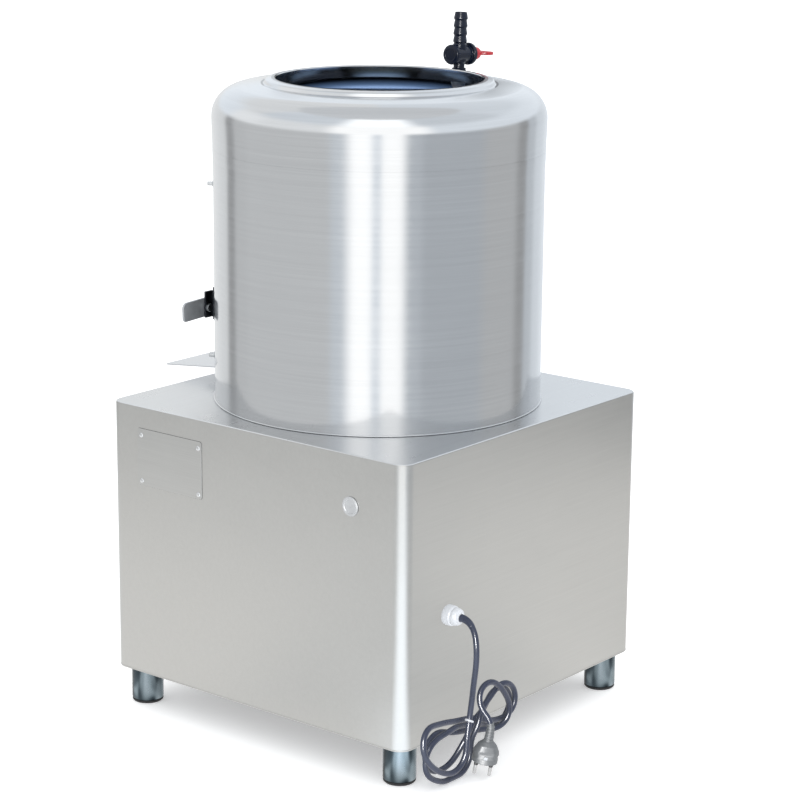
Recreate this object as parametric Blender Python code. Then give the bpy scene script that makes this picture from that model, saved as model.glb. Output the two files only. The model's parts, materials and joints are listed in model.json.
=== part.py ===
"""Drum potato peeler: square sheet cabinet on four round legs, round drum with a domed
top and open feed mouth, abrasive disc driven by a belt, hinged discharge door with a
swivel latch and a chute, small water valve on the dome, lead with a tied hank at the back.

Metres, +Z up, floor at z = 0. The door and chute face -Y, the lead leaves the +Y face.
Everything is built round the drum's axis and then hung on one empty, which moves the
drum's axis off the origin so that the origin is the middle of the machine's footprint.
"""
import math

import bmesh
import bpy
from mathutils import Matrix, Vector

# ---------------------------------------------------------------- driving dimensions
GAP = 0.0003                  # between neighbouring pieces

LEG_H = 0.052                 # underside of the cabinet above the floor
LEG_R = 0.0212                # 42.4 mm tube
LEG_X, LEG_Y = 0.220, 0.2205  # leg centres

CAB_X, CAB_Y, CAB_H = 0.503, 0.500, 0.369
SHEET = 0.002
CORNER_R = 0.018
ZB = LEG_H
ZT = LEG_H + CAB_H            # top of the cabinet

SEG = 48                      # facets round the drum
DRUM_R = 0.2165
DRUM_T = 0.0015
SHELL_H = 0.350
LINER_R = 0.2107              # inside of the abrasive lining
SKIRT_R = 0.2182              # outside of the dome's skirt
SKIRT_Z = 0.334               # skirt's lower edge, above the cabinet top
SHOULDER_Z = 0.374
SHOULDER_R = 0.0395
TOP_SLOPE = math.radians(6.75)
MOUTH_R = 0.1350
LIP_Z = 0.4235

PAN_DEPTH = 0.042
DRAIN_X = -0.165
DRAIN_R = 0.0250
DRAIN_OUT = 0.030             # how far the drain pipe stands out of the -X wall

DISC_R = 0.205
DISC_Z = 0.010                # underside of the disc above the cabinet top

OPEN_X = 0.068                # half width of the discharge opening
OPEN_Z0, OPEN_Z1 = 0.032, 0.210
DOOR_R = 0.2199               # inside of the door plate
DOOR_T = 0.0020
DOOR_A = math.radians(20.6)   # half angle of the door plate
DOOR_Z0, DOOR_Z1 = 0.0235, 0.2220
HINGE = (-0.1017, -0.2041)    # hinge pin in plan
HINGE_PIN_R = 0.0040

LATCH_X, LATCH_Z = 0.0945, 0.104
LEVER_BACK, LEVER_T = -0.2226, 0.0035
LEVER_H = 0.026
LEVER_TIP = 0.1385

CHUTE_X, CHUTE_Y = 0.085, -0.3115
CHUTE_Z_IN, CHUTE_Z_OUT, CHUTE_T = 0.0205, 0.0100, 0.0020

VALVE_X, VALVE_Y = -0.180, -0.010
VALVE_TILT = math.radians(2.5)
VALVE_C = 0.0245              # valve's cross axis above the dome

MOTOR_Y = 0.160
BELT_Z = 0.110
BIG_R, SMALL_R = 0.1200, 0.0300

GLAND = (0.165, 0.212)        # x and z of the cable gland on the +Y face
GLAND_END = 0.2722
CORD_D = 0.0075
HANK_C = (0.148, 0.277, 0.070)
HANK_T = 0.026
HANK_TILT = math.radians(25.0)
HANK_LEFT = (0.205, 0.0475, 0.0395)   # x, z and radius of the lower lobe
HANK_RIGHT = (0.088, 0.0810, 0.0330)  # and of the upper one
PLUG, PLUG_LEAN = (0.1440, 0.2960, 0.0225), math.radians(10.0)

FOOTPRINT = (0.01360, 0.01965)  # drum axis from the origin, set so the origin is central


# ---------------------------------------------------------------- materials
def material(name, colour, metallic, roughness):
    mat = bpy.data.materials.new(name)
    mat.use_nodes = True
    shader = mat.node_tree.nodes["Principled BSDF"]
    shader.inputs["Base Color"].default_value = (*colour, 1.0)
    shader.inputs["Metallic"].default_value = metallic
    shader.inputs["Roughness"].default_value = roughness
    mat.diffuse_color = (*colour, 1.0)
    return mat


COLOURS = {
    "satin_steel": ((0.62, 0.61, 0.59), 1.0, 0.36),
    "polished_steel": ((0.68, 0.69, 0.70), 1.0, 0.22),
    "leg_chrome": ((0.20, 0.23, 0.25), 1.0, 0.18),
    "zinc_steel": ((0.50, 0.51, 0.52), 1.0, 0.40),
    "frame_paint": ((0.16, 0.17, 0.18), 0.0, 0.55),
    "motor_paint": ((0.10, 0.17, 0.26), 0.0, 0.50),
    "cast_iron": ((0.13, 0.13, 0.14), 0.6, 0.60),
    "bearing_steel": ((0.58, 0.58, 0.60), 1.0, 0.25),
    "abrasive": ((0.075, 0.070, 0.068), 0.0, 0.95),
    "disc_grit": ((0.085, 0.078, 0.075), 0.0, 0.95),
    "black_rubber": ((0.025, 0.025, 0.027), 0.0, 0.70),
    "grey_rubber": ((0.23, 0.24, 0.25), 0.0, 0.55),
    "navy_plastic": ((0.015, 0.022, 0.045), 0.0, 0.35),
    "red_plastic": ((0.62, 0.03, 0.04), 0.0, 0.38),
    "green_plastic": ((0.03, 0.35, 0.10), 0.0, 0.38),
    "white_plastic": ((0.82, 0.83, 0.84), 0.0, 0.42),
    "cord_pvc": ((0.16, 0.18, 0.21), 0.0, 0.42),
    "panel_plastic": ((0.05, 0.05, 0.055), 0.0, 0.50),
    "plain_plastic": ((0.52, 0.53, 0.54), 0.0, 0.45),
}


# ---------------------------------------------------------------- helpers
def clear_scene():
    for ob in list(bpy.data.objects):
        bpy.data.objects.remove(ob, do_unlink=True)


def link(name, mesh, origin=(0, 0, 0)):
    ob = bpy.data.objects.new(name, mesh)
    bpy.context.scene.collection.objects.link(ob)
    ob.location = origin
    ob.parent = MACHINE
    return ob


def mesh_of(name, bm, origin=(0, 0, 0)):
    bmesh.ops.remove_doubles(bm, verts=bm.verts, dist=1e-6)
    bmesh.ops.dissolve_degenerate(bm, edges=bm.edges, dist=1e-7)
    bmesh.ops.recalc_face_normals(bm, faces=bm.faces)
    bmesh.ops.translate(bm, verts=bm.verts, vec=-Vector(origin))
    mesh = bpy.data.meshes.new(name)
    bm.to_mesh(mesh)
    bm.free()
    return mesh


def piece(name, bm, colour, origin=(0, 0, 0), smooth=True):
    """A finished sub-part. A moving one is given its joint's point as origin."""
    mesh = mesh_of(name, bm, origin)
    if smooth:
        mesh.shade_smooth()
        mesh.set_sharp_from_angle(angle=math.radians(32))
    mesh.materials.append(material(name + "_" + colour, *COLOURS[colour]))
    return link(name, mesh, origin)


def tool(ob, bm, operation="DIFFERENCE"):
    """Cuts or joins a hidden shape to ob."""
    n = len(ob.modifiers)
    name = "tool_" + ob.name + "_" + str(n)
    cutter = link(name, mesh_of(name, bm))
    cutter.hide_render = True
    cutter.display_type = "WIRE"
    mod = ob.modifiers.new("cut" + str(n), "BOOLEAN")
    mod.operation = operation
    mod.solver = "EXACT"
    mod.object = cutter
    return ob


def turned(profile, seg, centre=(0, 0, 0), axis="Z", closed=True):
    """Spins a profile of (radius, height) pairs about an axis through centre.
    An open profile has both its ends on the axis."""
    bm = bmesh.new()
    verts = [bm.verts.new((r, 0.0, h)) for r, h in profile]
    pairs = list(zip(verts, verts[1:]))
    if closed:
        pairs.append((verts[-1], verts[0]))
    edges = [bm.edges.new(p) for p in pairs]
    bmesh.ops.spin(bm, geom=verts + edges, cent=(0, 0, 0), axis=(0, 0, 1),
                   angle=2 * math.pi, steps=seg, use_merge=True, use_duplicate=False)
    bmesh.ops.remove_doubles(bm, verts=bm.verts, dist=1e-6)
    bmesh.ops.dissolve_degenerate(bm, edges=bm.edges, dist=1e-7)
    if axis == "X":
        bmesh.ops.rotate(bm, verts=bm.verts, cent=(0, 0, 0), matrix=Matrix.Rotation(math.pi / 2, 3, "Y"))
    if axis == "Y":
        bmesh.ops.rotate(bm, verts=bm.verts, cent=(0, 0, 0), matrix=Matrix.Rotation(-math.pi / 2, 3, "X"))
    bmesh.ops.translate(bm, verts=bm.verts, vec=Vector(centre))
    return bm


def rod(radius, h0, h1, seg, centre=(0, 0, 0), axis="Z"):
    return turned([(0, h0), (radius, h0), (radius, h1), (0, h1)], seg, centre, axis, closed=False)


def prism(outline, z0, z1):
    """Extrudes a plan outline from z0 to z1."""
    bm = bmesh.new()
    face = bm.faces.new([bm.verts.new((x, y, z0)) for x, y in outline])
    out = bmesh.ops.extrude_face_region(bm, geom=[face])
    top = [e for e in out["geom"] if isinstance(e, bmesh.types.BMVert)]
    bmesh.ops.translate(bm, verts=top, vec=(0, 0, z1 - z0))
    return bm


def block(x0, x1, y0, y1, z0, z1):
    return prism([(x0, y0), (x1, y0), (x1, y1), (x0, y1)], z0, z1)


def rounded(hx, hy, r, steps):
    """Rounded rectangle centred on the axis."""
    pts = []
    for k, (sx, sy) in enumerate([(1, 1), (-1, 1), (-1, -1), (1, -1)]):
        for i in range(steps + 1):
            a = math.pi / 2 * (k + i / steps)
            pts.append((sx * (hx - r) + r * math.cos(a), sy * (hy - r) + r * math.sin(a)))
    return pts


def front(r, a):
    """A point at radius r and angle a, counted from -Y towards +X."""
    return r * math.sin(a), -r * math.cos(a)


def curved_slab(r0, r1, a0, a1, z0, z1, steps):
    """Part of a tube wall on the front of the drum."""
    bm = bmesh.new()
    rings = []
    for i in range(steps + 1):
        a = a0 + (a1 - a0) * i / steps
        rings.append([bm.verts.new((*front(r, a), z)) for r, z in ((r0, z0), (r1, z0), (r1, z1), (r0, z1))])
    for p, q in zip(rings, rings[1:]):
        for k in range(4):
            bm.faces.new((p[k], p[(k + 1) % 4], q[(k + 1) % 4], q[k]))
    bm.faces.new(rings[0])
    bm.faces.new(rings[-1])
    return bm


def pipe(path, r_out, r_in, seg):
    """A hollow tube swept along path with flat ring ends."""
    bm = bmesh.new()
    path = [Vector(p) for p in path]
    rings = []
    side = Vector((0, 1, 0))
    for i, p in enumerate(path):
        ahead = (path[min(i + 1, len(path) - 1)] - path[max(i - 1, 0)]).normalized()
        other = ahead.cross(side).normalized()
        pair = []
        for r in (r_out, r_in):
            pair.append([bm.verts.new(p + (side * math.cos(t) + other * math.sin(t)) * r)
                         for t in (2 * math.pi * k / seg for k in range(seg))])
        rings.append(pair)
    for layer in (0, 1):
        for p, q in zip(rings, rings[1:]):
            for k in range(seg):
                bm.faces.new((p[layer][k], p[layer][(k + 1) % seg], q[layer][(k + 1) % seg], q[layer][k]))
    for ring in (rings[0], rings[-1]):
        for k in range(seg):
            bm.faces.new((ring[0][k], ring[0][(k + 1) % seg], ring[1][(k + 1) % seg], ring[1][k]))
    return bm


def offset_inward(path, t):
    """The same open profile moved by t to its right-hand side as it is walked."""
    out = []
    for i, (r, z) in enumerate(path):
        a = path[max(i - 1, 0)]
        b = path[min(i + 1, len(path) - 1)]
        dr, dz = b[0] - a[0], b[1] - a[1]
        n = math.hypot(dr, dz)
        out.append((r - dz / n * t, z + dr / n * t))
    return out


def moved(bm, matrix):
    bmesh.ops.transform(bm, matrix=matrix, verts=bm.verts)
    return bm


def b_spline(ctrl, t):
    """Clamped cubic B-spline through its first and last control points."""
    n = len(ctrl)
    knots = [0.0] * 4 + [i / (n - 3) for i in range(1, n - 3)] + [1.0] * 4
    t = min(max(t, 0.0), 1.0 - 1e-9)
    k = max(i for i in range(3, n) if knots[i] <= t)
    d = [Vector(ctrl[k - 3 + j]) for j in range(4)]
    for r in range(1, 4):
        for j in range(3, r - 1, -1):
            lo, hi = knots[j + k - 3], knots[j + 1 + k - r]
            w = (t - lo) / (hi - lo)
            d[j] = d[j - 1].lerp(d[j], w)
    return d[3]


# ---------------------------------------------------------------- cabinet, frame and legs
def cabinet():
    cab = piece("base_cabinet", prism(rounded(CAB_X / 2, CAB_Y / 2, CORNER_R, 4), ZB, ZT), "satin_steel")
    tool(cab, prism(rounded(CAB_X / 2 - SHEET, CAB_Y / 2 - SHEET, CORNER_R - SHEET, 4), ZB - 0.02, ZT - SHEET))
    tool(cab, rod(0.2118, ZT - 0.01, ZT + 0.01, SEG))
    tool(cab, rod(0.0102, 0.240, 0.260, 16, (GLAND[0], 0, GLAND[1]), "Y"))
    tool(cab, rod(0.0100, 0.240, 0.260, 16, (0, 0.165, 0.355), "X"))
    tool(cab, rod(DRAIN_R + 0.0006, -0.262, -0.240, 24, (0, 0, ZT - 0.087), "X"))
    tool(cab, block(0.130, 0.200, -0.260, -0.240, 0.305, 0.339))
    for y, z in RIVETS:
        tool(cab, rod(0.0018, 0.245, 0.256, 8, (0, y, z), "X"))

    z0 = ZB + GAP
    hx, hy = CAB_X / 2 - SHEET - GAP, CAB_Y / 2 - SHEET - GAP
    frame = piece("base_frame", prism(rounded(hx, hy, 0.0165, 1), z0, z0 + 0.035), "frame_paint", smooth=False)
    tool(frame, prism(rounded(hx - 0.050, hy - 0.050, 0.012, 1), z0 - 0.01, z0 + 0.05))
    tool(frame, prism(rounded(hx - 0.003, hy - 0.003, 0.0145, 1), z0 + 0.003, z0 + 0.05))

    for name, sx, sy in (("front_left", -1, -1), ("front_right", 1, -1), ("rear_left", -1, 1), ("rear_right", 1, 1)):
        at = (sx * LEG_X, sy * LEG_Y, 0)
        tube = [(LEG_R, 0.0045), (LEG_R, ZB), (LEG_R - 0.0027, ZB), (LEG_R - 0.0027, 0.0045)]
        piece("leg_" + name, turned(tube, 24, at), "leg_chrome")
        cap = [(0, 0), (0.0190, 0), (0.0209, 0.0020), (0.0209, 0.0042), (0.0182, 0.0042), (0.0182, 0.016), (0, 0.016)]
        piece("foot_cap_" + name, turned(cap, 16, at, closed=False), "black_rubber")


RIVETS = [(y, LEG_H + z) for y in (-0.193, -0.091) for z in (0.269, 0.331)]


def side_fittings():
    face = CAB_X / 2
    plate = piece("rating_plate", prism([(-0.200, 0.315), (-0.085, 0.315), (-0.085, 0.392), (-0.200, 0.392)],
                                        0, 0.0006), "polished_steel", smooth=False)
    # the outline above is y and z; stand it up on the +X face
    plate.data.transform(Matrix(((0, 0, 1, face + GAP), (1, 0, 0, 0), (0, 1, 0, 0), (0, 0, 0, 1))))
    for i, (y, z) in enumerate(RIVETS):
        tool(plate, rod(0.0018, 0.245, 0.256, 8, (0, y, z), "X"))
        x = face + GAP + 0.0006 + GAP
        head = [(0, 0.2475), (0.0014, 0.2475), (0.0014, x), (0.0034, x), (0.0032, x + 0.0006), (0.0018, x + 0.0014), (0, x + 0.0016)]
        piece("plate_rivet_" + str(i + 1), turned(head, 10, (0, y, z), "X", closed=False), "polished_steel")
    x = face + GAP
    plug = [(0, 0.2465), (0.0094, 0.2465), (0.0094, x), (0.0126, x), (0.0116, x + 0.0018), (0.0094, x + 0.0018),
            (0.0082, x + 0.0010), (0, x + 0.0010)]
    piece("hole_plug", turned(plug, 16, (0, 0.165, 0.355), "X", closed=False), "plain_plastic")


def switches():
    y = -CAB_Y / 2 - GAP
    panel = piece("switch_panel", block(0.125, 0.205, y - 0.0065, y, 0.285, 0.359), "panel_plastic", smooth=False)
    for name, x, colour in (("start_button", 0.147, "green_plastic"), ("stop_button", 0.183, "red_plastic")):
        tool(panel, rod(0.0113, y - 0.012, y + 0.006, 20, (x, 0, 0.322), "Y"))
        button = [(0, -0.2650), (0.0088, -0.2650), (0.0108, -0.2635), (0.0108, -0.2420), (0, -0.2420)]
        piece(name, turned(button, 20, (x, 0, 0.322), "Y", closed=False), colour, origin=(x, -0.2535, 0.322))


# ---------------------------------------------------------------- drum
def dome_path():
    c = SKIRT_R - SHOULDER_R
    path = [(SKIRT_R, SKIRT_Z), (SKIRT_R, SHOULDER_Z)]
    top = math.pi / 2 - TOP_SLOPE
    for i in range(1, 5):
        a = top * i / 4
        path.append((c + SHOULDER_R * math.cos(a), SHOULDER_Z + SHOULDER_R * math.sin(a)))
    r, z = path[-1]
    path.append((0.1520, z + (r - 0.1520) * math.tan(TOP_SLOPE)))
    path += [(0.1440, 0.4222), (0.1385, LIP_Z), (MOUTH_R, 0.4212), (MOUTH_R, 0.4080)]
    return path


def drum():
    shell = [(DRUM_R, GAP), (DRUM_R, SHELL_H), (DRUM_R - DRUM_T, SHELL_H), (DRUM_R - DRUM_T, GAP)]
    at = (0, 0, ZT)
    shell = piece("drum_shell", turned(shell, SEG, at), "polished_steel")
    hole = lambda: block(-OPEN_X, OPEN_X, -0.26, -0.15, ZT + OPEN_Z0, ZT + OPEN_Z1)
    tool(shell, hole())

    out = DRUM_R - DRUM_T - GAP
    liner = [(out, 0.0021), (out, SHELL_H - 0.002), (LINER_R, SHELL_H - 0.002), (LINER_R, 0.0021)]
    liner = piece("drum_liner", turned(liner, SEG, at), "abrasive")
    tool(liner, hole())
    for name, z in (("door_bolt_lower", 0.046), ("door_bolt_upper", 0.278)):
        place = Matrix.Translation((0, 0, ZT + z)) @ Matrix.Rotation(BOLT_A, 4, "Z")
        for wall in (shell, liner):
            tool(wall, moved(rod(0.0033, 0.200, 0.225, 8, (0, 0, 0), "X"), place))
        bolt = [(0, LINER_R), (0.0030, LINER_R), (0.0030, DRUM_R + GAP), (0.0055, DRUM_R + GAP),
                (0.0055, DRUM_R + 0.0050), (0.0030, DRUM_R + 0.0055), (0.0030, DRUM_R + 0.0118), (0, DRUM_R + 0.0125)]
        piece(name, moved(turned(bolt, 8, (0, 0, 0), "X", closed=False), place), "zinc_steel")

    path = dome_path()
    dome = piece("drum_dome", turned(path + offset_inward(path, DRUM_T)[::-1], SEG, at), "polished_steel")
    tool(dome, moved(rod(0.0083, -0.010, 0.010, 12), valve_frame()))

    pan = [(0.2145, GAP), (0.2145, 0.0018), (0.2095, 0.0018), (0.2095, 0.002 - PAN_DEPTH), (0.0320, 0.002 - PAN_DEPTH),
           (0.0320, -0.0120), (0.0300, -0.0120), (0.0300, -PAN_DEPTH), (0.2110, -PAN_DEPTH), (0.2110, GAP)]
    pan = piece("drum_pan", turned(pan, SEG, at), "polished_steel")
    tool(pan, rod(DRAIN_R - 0.0025, ZT - PAN_DEPTH - 0.01, ZT - PAN_DEPTH + 0.01, 16, (DRAIN_X, 0, 0)))

    z, bend = ZT - PAN_DEPTH - GAP, 0.035
    route = [(DRAIN_X, 0, z), (DRAIN_X, 0, z - 0.0100)]
    for i in range(1, 5):
        a = math.pi / 2 * i / 4
        route.append((DRAIN_X - bend * (1 - math.cos(a)), 0, z - 0.0100 - bend * math.sin(a)))
    route.append((-CAB_X / 2 - DRAIN_OUT, 0, route[-1][2]))
    piece("drain_pipe", pipe(route, DRAIN_R, DRAIN_R - 0.0025, 16), "plain_plastic")


BOLT_A = math.radians(31.0 - 90.0)   # bolt's direction in plan, counted from +X


def chute():
    n = 8
    a = math.asin(CHUTE_X / (DRUM_R + GAP))
    inner = [front(DRUM_R + GAP, -a + 2 * a * i / n) for i in range(n + 1)]
    outline = [(-CHUTE_X, CHUTE_Y + 0.004), (-CHUTE_X + 0.004, CHUTE_Y), (CHUTE_X - 0.004, CHUTE_Y), (CHUTE_X, CHUTE_Y + 0.004)]
    bm = prism(outline + inner[::-1], -CHUTE_T, 0)
    y0 = -DRUM_R
    for v in bm.verts:
        v.co.z += ZT + CHUTE_Z_IN + (CHUTE_Z_IN - CHUTE_Z_OUT) * (v.co.y - y0) / (y0 - CHUTE_Y)
    piece("discharge_chute", bm, "satin_steel", smooth=False)


# ---------------------------------------------------------------- door and latch
def door():
    axis = (HINGE[0], HINGE[1], ZT + 0.1225)
    r1 = DOOR_R + DOOR_T
    leaf = piece("discharge_door", curved_slab(DOOR_R, r1, -DOOR_A, DOOR_A, ZT + DOOR_Z0, ZT + DOOR_Z1, 10),
                 "polished_steel", origin=axis)
    deg = math.radians
    for z0 in (0.060, 0.160):
        tool(leaf, curved_slab(r1 - 0.0006, r1 + 0.0026, deg(-25.3), deg(-10.5), ZT + z0 + 0.001, ZT + z0 + 0.024, 4), "UNION")
        tool(leaf, rod(0.0080, ZT + z0, ZT + z0 + 0.025, 16, (*HINGE, 0)), "UNION")
    # strike that the latch lever closes over
    mid = DOOR_R + DOOR_T / 2
    root = [(x, -math.sqrt(mid ** 2 - x ** 2)) for x in (0.0660, 0.0590, 0.0520)]
    strike = [(0.0520, LEVER_BACK + 0.0005), (0.0660, LEVER_BACK + 0.0005)]
    tool(leaf, prism(strike + root, ZT + 0.088, ZT + 0.120), "UNION")
    tool(leaf, rod(HINGE_PIN_R + 0.0004, ZT + 0.05, ZT + 0.20, 16, (*HINGE, 0)))

    a = math.radians(20.0)
    seal = piece("door_seal", curved_slab(DRUM_R + 0.0004, DOOR_R - GAP, -a, a, ZT + DOOR_Z0 + 0.0015,
                                          ZT + DOOR_Z1 - 0.0015, 10), "black_rubber", origin=axis)
    tool(seal, block(-OPEN_X - 0.0005, OPEN_X + 0.0005, -0.26, -0.15, ZT + OPEN_Z0 - 0.0005, ZT + OPEN_Z1 + 0.0005))

    for name, z0 in (("hinge_bracket_lower", 0.0395), ("hinge_bracket_upper", 0.1855)):
        ear = piece(name, curved_slab(DRUM_R + GAP, DRUM_R + 0.0052, deg(-38), deg(-25.6), ZT + z0, ZT + z0 + 0.020, 4), "satin_steel")
        tool(ear, rod(0.0080, ZT + z0, ZT + z0 + 0.020, 16, (*HINGE, 0)), "UNION")
        tool(ear, rod(HINGE_PIN_R + GAP, ZT + z0 - 0.01, ZT + z0 + 0.03, 16, (*HINGE, 0)))
    pin = [(0, 0.0365), (HINGE_PIN_R, 0.0365), (HINGE_PIN_R, 0.2060), (0.0065, 0.2060), (0.0065, 0.2085), (0.0040, 0.2100), (0, 0.2100)]
    piece("hinge_pin", turned(pin, 12, (*HINGE, ZT), closed=False), "zinc_steel")


def latch():
    deg = math.radians
    web = LEVER_BACK + 0.0004
    foot = piece("latch_bracket", curved_slab(DRUM_R + GAP, DRUM_R + 0.0033, deg(22.3), deg(29.2), ZT + 0.064, ZT + 0.134, 3), "zinc_steel", smooth=False)
    x0, x1 = LATCH_X - 0.0095, LATCH_X + 0.0085
    tool(foot, prism([(x0, web), (x1, web), (x1, -0.1945), (x0, -0.2005)], ZT + 0.090, ZT + 0.134), "UNION")
    tool(foot, block(x0 + 0.0025, x1 - 0.0025, web + 0.0030, -0.2065, ZT + 0.080, ZT + 0.140))
    tool(foot, block(x1 - 0.0030, x1 + 0.0005, LEVER_BACK - 0.0025, web + 0.002, ZT + 0.0870, ZT + 0.0903), "UNION")
    tool(foot, rod(0.0044, web - 0.004, web + 0.010, 12, (LATCH_X, 0, ZT + LATCH_Z), "Y"))
    fore = LEVER_BACK - LEVER_T - GAP
    stud = [(0, fore - 0.0045), (0.0045, fore - 0.0042), (0.0072, fore - 0.0025), (0.0075, fore), (0.0040, fore),
            (0.0040, web + 0.0033), (0.0055, web + 0.0033), (0.0055, web + 0.0075), (0, web + 0.0075)]
    piece("latch_stud", turned(stud, 12, (LATCH_X, 0, ZT + LATCH_Z), "Y", closed=False), "zinc_steel")

    h, reach = LEVER_H / 2, LEVER_TIP - LATCH_X
    outline = [(h * math.cos(deg(a)), h * math.sin(deg(a))) for a in range(90, 271, 20)]
    for cx, cz, r, a0 in ((reach, -h, 0.008, -90), (reach, h, 0.004, 0)):
        s = 1 if cz > 0 else -1
        for i in range(4):
            a = deg(a0 + 30 * i)
            outline.append((cx - r + r * math.cos(a), cz - s * r + r * math.sin(a)))
    bm = prism(outline, 0, LEVER_T)
    tilt = Matrix.Rotation(deg(2.5), 4, "Y")
    moved(bm, Matrix.Translation((LATCH_X, LEVER_BACK, ZT + LATCH_Z)) @ tilt @ Matrix.Rotation(math.pi / 2, 4, "X"))
    lever = piece("latch_lever", bm, "zinc_steel", origin=(LATCH_X, LEVER_BACK - LEVER_T / 2, ZT + LATCH_Z), smooth=False)
    tool(lever, rod(0.0044, LEVER_BACK - 0.01, LEVER_BACK + 0.006, 12, (LATCH_X, 0, ZT + LATCH_Z), "Y"))


# ---------------------------------------------------------------- water valve
def valve_frame():
    c = SKIRT_R - SHOULDER_R
    z = SHOULDER_Z + SHOULDER_R / math.cos(TOP_SLOPE) + (c - math.hypot(VALVE_X, VALVE_Y)) * math.tan(TOP_SLOPE)
    return Matrix.Translation((VALVE_X, VALVE_Y, ZT + z)) @ Matrix.Rotation(-VALVE_TILT, 4, "Y")


def valve():
    frame = valve_frame()
    centre = frame @ Vector((0, 0, VALVE_C))
    outer = [(0.0068, -0.0120), (0.0068, 0.0014), (0.0095, 0.0014), (0.0095, 0.0060), (0.0075, 0.0066), (0.0075, 0.0130),
             (0.0092, 0.0150), (0.0092, 0.0375), (0.0076, 0.0395)]
    z = 0.0395
    for _ in range(4):                       # hose barbs
        outer += [(0.0089, z + 0.0030), (0.0076, z + 0.0098)]
        z += 0.0103
    outer[-1] = (0.0074, 0.0810)
    bore = [(0.0045, 0.0810), (0.0045, -0.0120)]
    body = piece("valve_body", moved(turned(outer + bore, 12), frame), "navy_plastic")
    cross = [(0, -0.0320), (0.0130, -0.0320), (0.0142, -0.0305), (0.0142, -0.0255), (0.0130, -0.0240), (0.0108, -0.0240),
             (0.0108, 0.0122), (0, 0.0122)]
    at = (0, 0, VALVE_C)
    tool(body, moved(turned(cross, 16, at, "X", closed=False), frame), "UNION")
    tool(body, moved(rod(0.0088, -0.0105, 0.0200, 14, at, "X"), frame))
    tool(body, moved(rod(0.0042, -0.0400, 0.0000, 10, at, "X"), frame))
    tool(body, moved(rod(0.0045, -0.0200, 0.0900, 14), frame))

    cap = [(0, 0.0088), (0.0084, 0.0088), (0.0084, 0.0125), (0.0132, 0.0125), (0.0136, 0.0135), (0.0136, 0.0180),
           (0.0122, 0.0198), (0.0060, 0.0205), (0, 0.0205)]
    piece("valve_cap", moved(turned(cap, 18, at, "X", closed=False), frame), "navy_plastic")

    ball = [(0, -0.0360), (0.0036, -0.0360), (0.0036, -0.0076)]
    for i in range(1, 7):
        a = math.radians(152 - 152 * i / 6)
        ball.append((0.0083 * math.sin(a), 0.0083 * math.cos(a)))
    ball[-1] = (0, 0.0083)
    ball = piece("valve_ball", moved(turned(ball, 12, at, "X", closed=False), frame), "bearing_steel", origin=centre)
    tool(ball, moved(rod(0.0044, -0.0200, 0.0200, 10, at, "Y"), frame))

    hub = [(0, -0.0420), (0.0068, -0.0420), (0.0086, -0.0400), (0.0090, -0.0323), (0, -0.0323)]
    handle = piece("valve_handle", moved(turned(hub, 14, at, "X", closed=False), frame), "red_plastic", origin=centre)
    z0 = VALVE_C - 0.0025
    wing = [(-0.0405, 0.0066), (-0.0460, 0.0140), (-0.0500, 0.0155), (-0.0640, 0.0155), (-0.0685, 0.0130), (-0.0700, 0.0080)]
    wing += [(x, -y) for x, y in wing[::-1]]
    tool(handle, moved(prism(wing, z0, z0 + 0.0050), frame), "UNION")
    tool(handle, moved(rod(0.0039, -0.0364, -0.0300, 10, at, "X"), frame))

    nozzle = [(0.0072, -0.0125), (0.0072, -0.0052), (0.0110, -0.0052), (0.0110, -0.0130), (0.0080, -0.0200), (0.0040, -0.0200)]
    piece("spray_nozzle", moved(turned(nozzle, 14), frame), "white_plastic")


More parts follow.
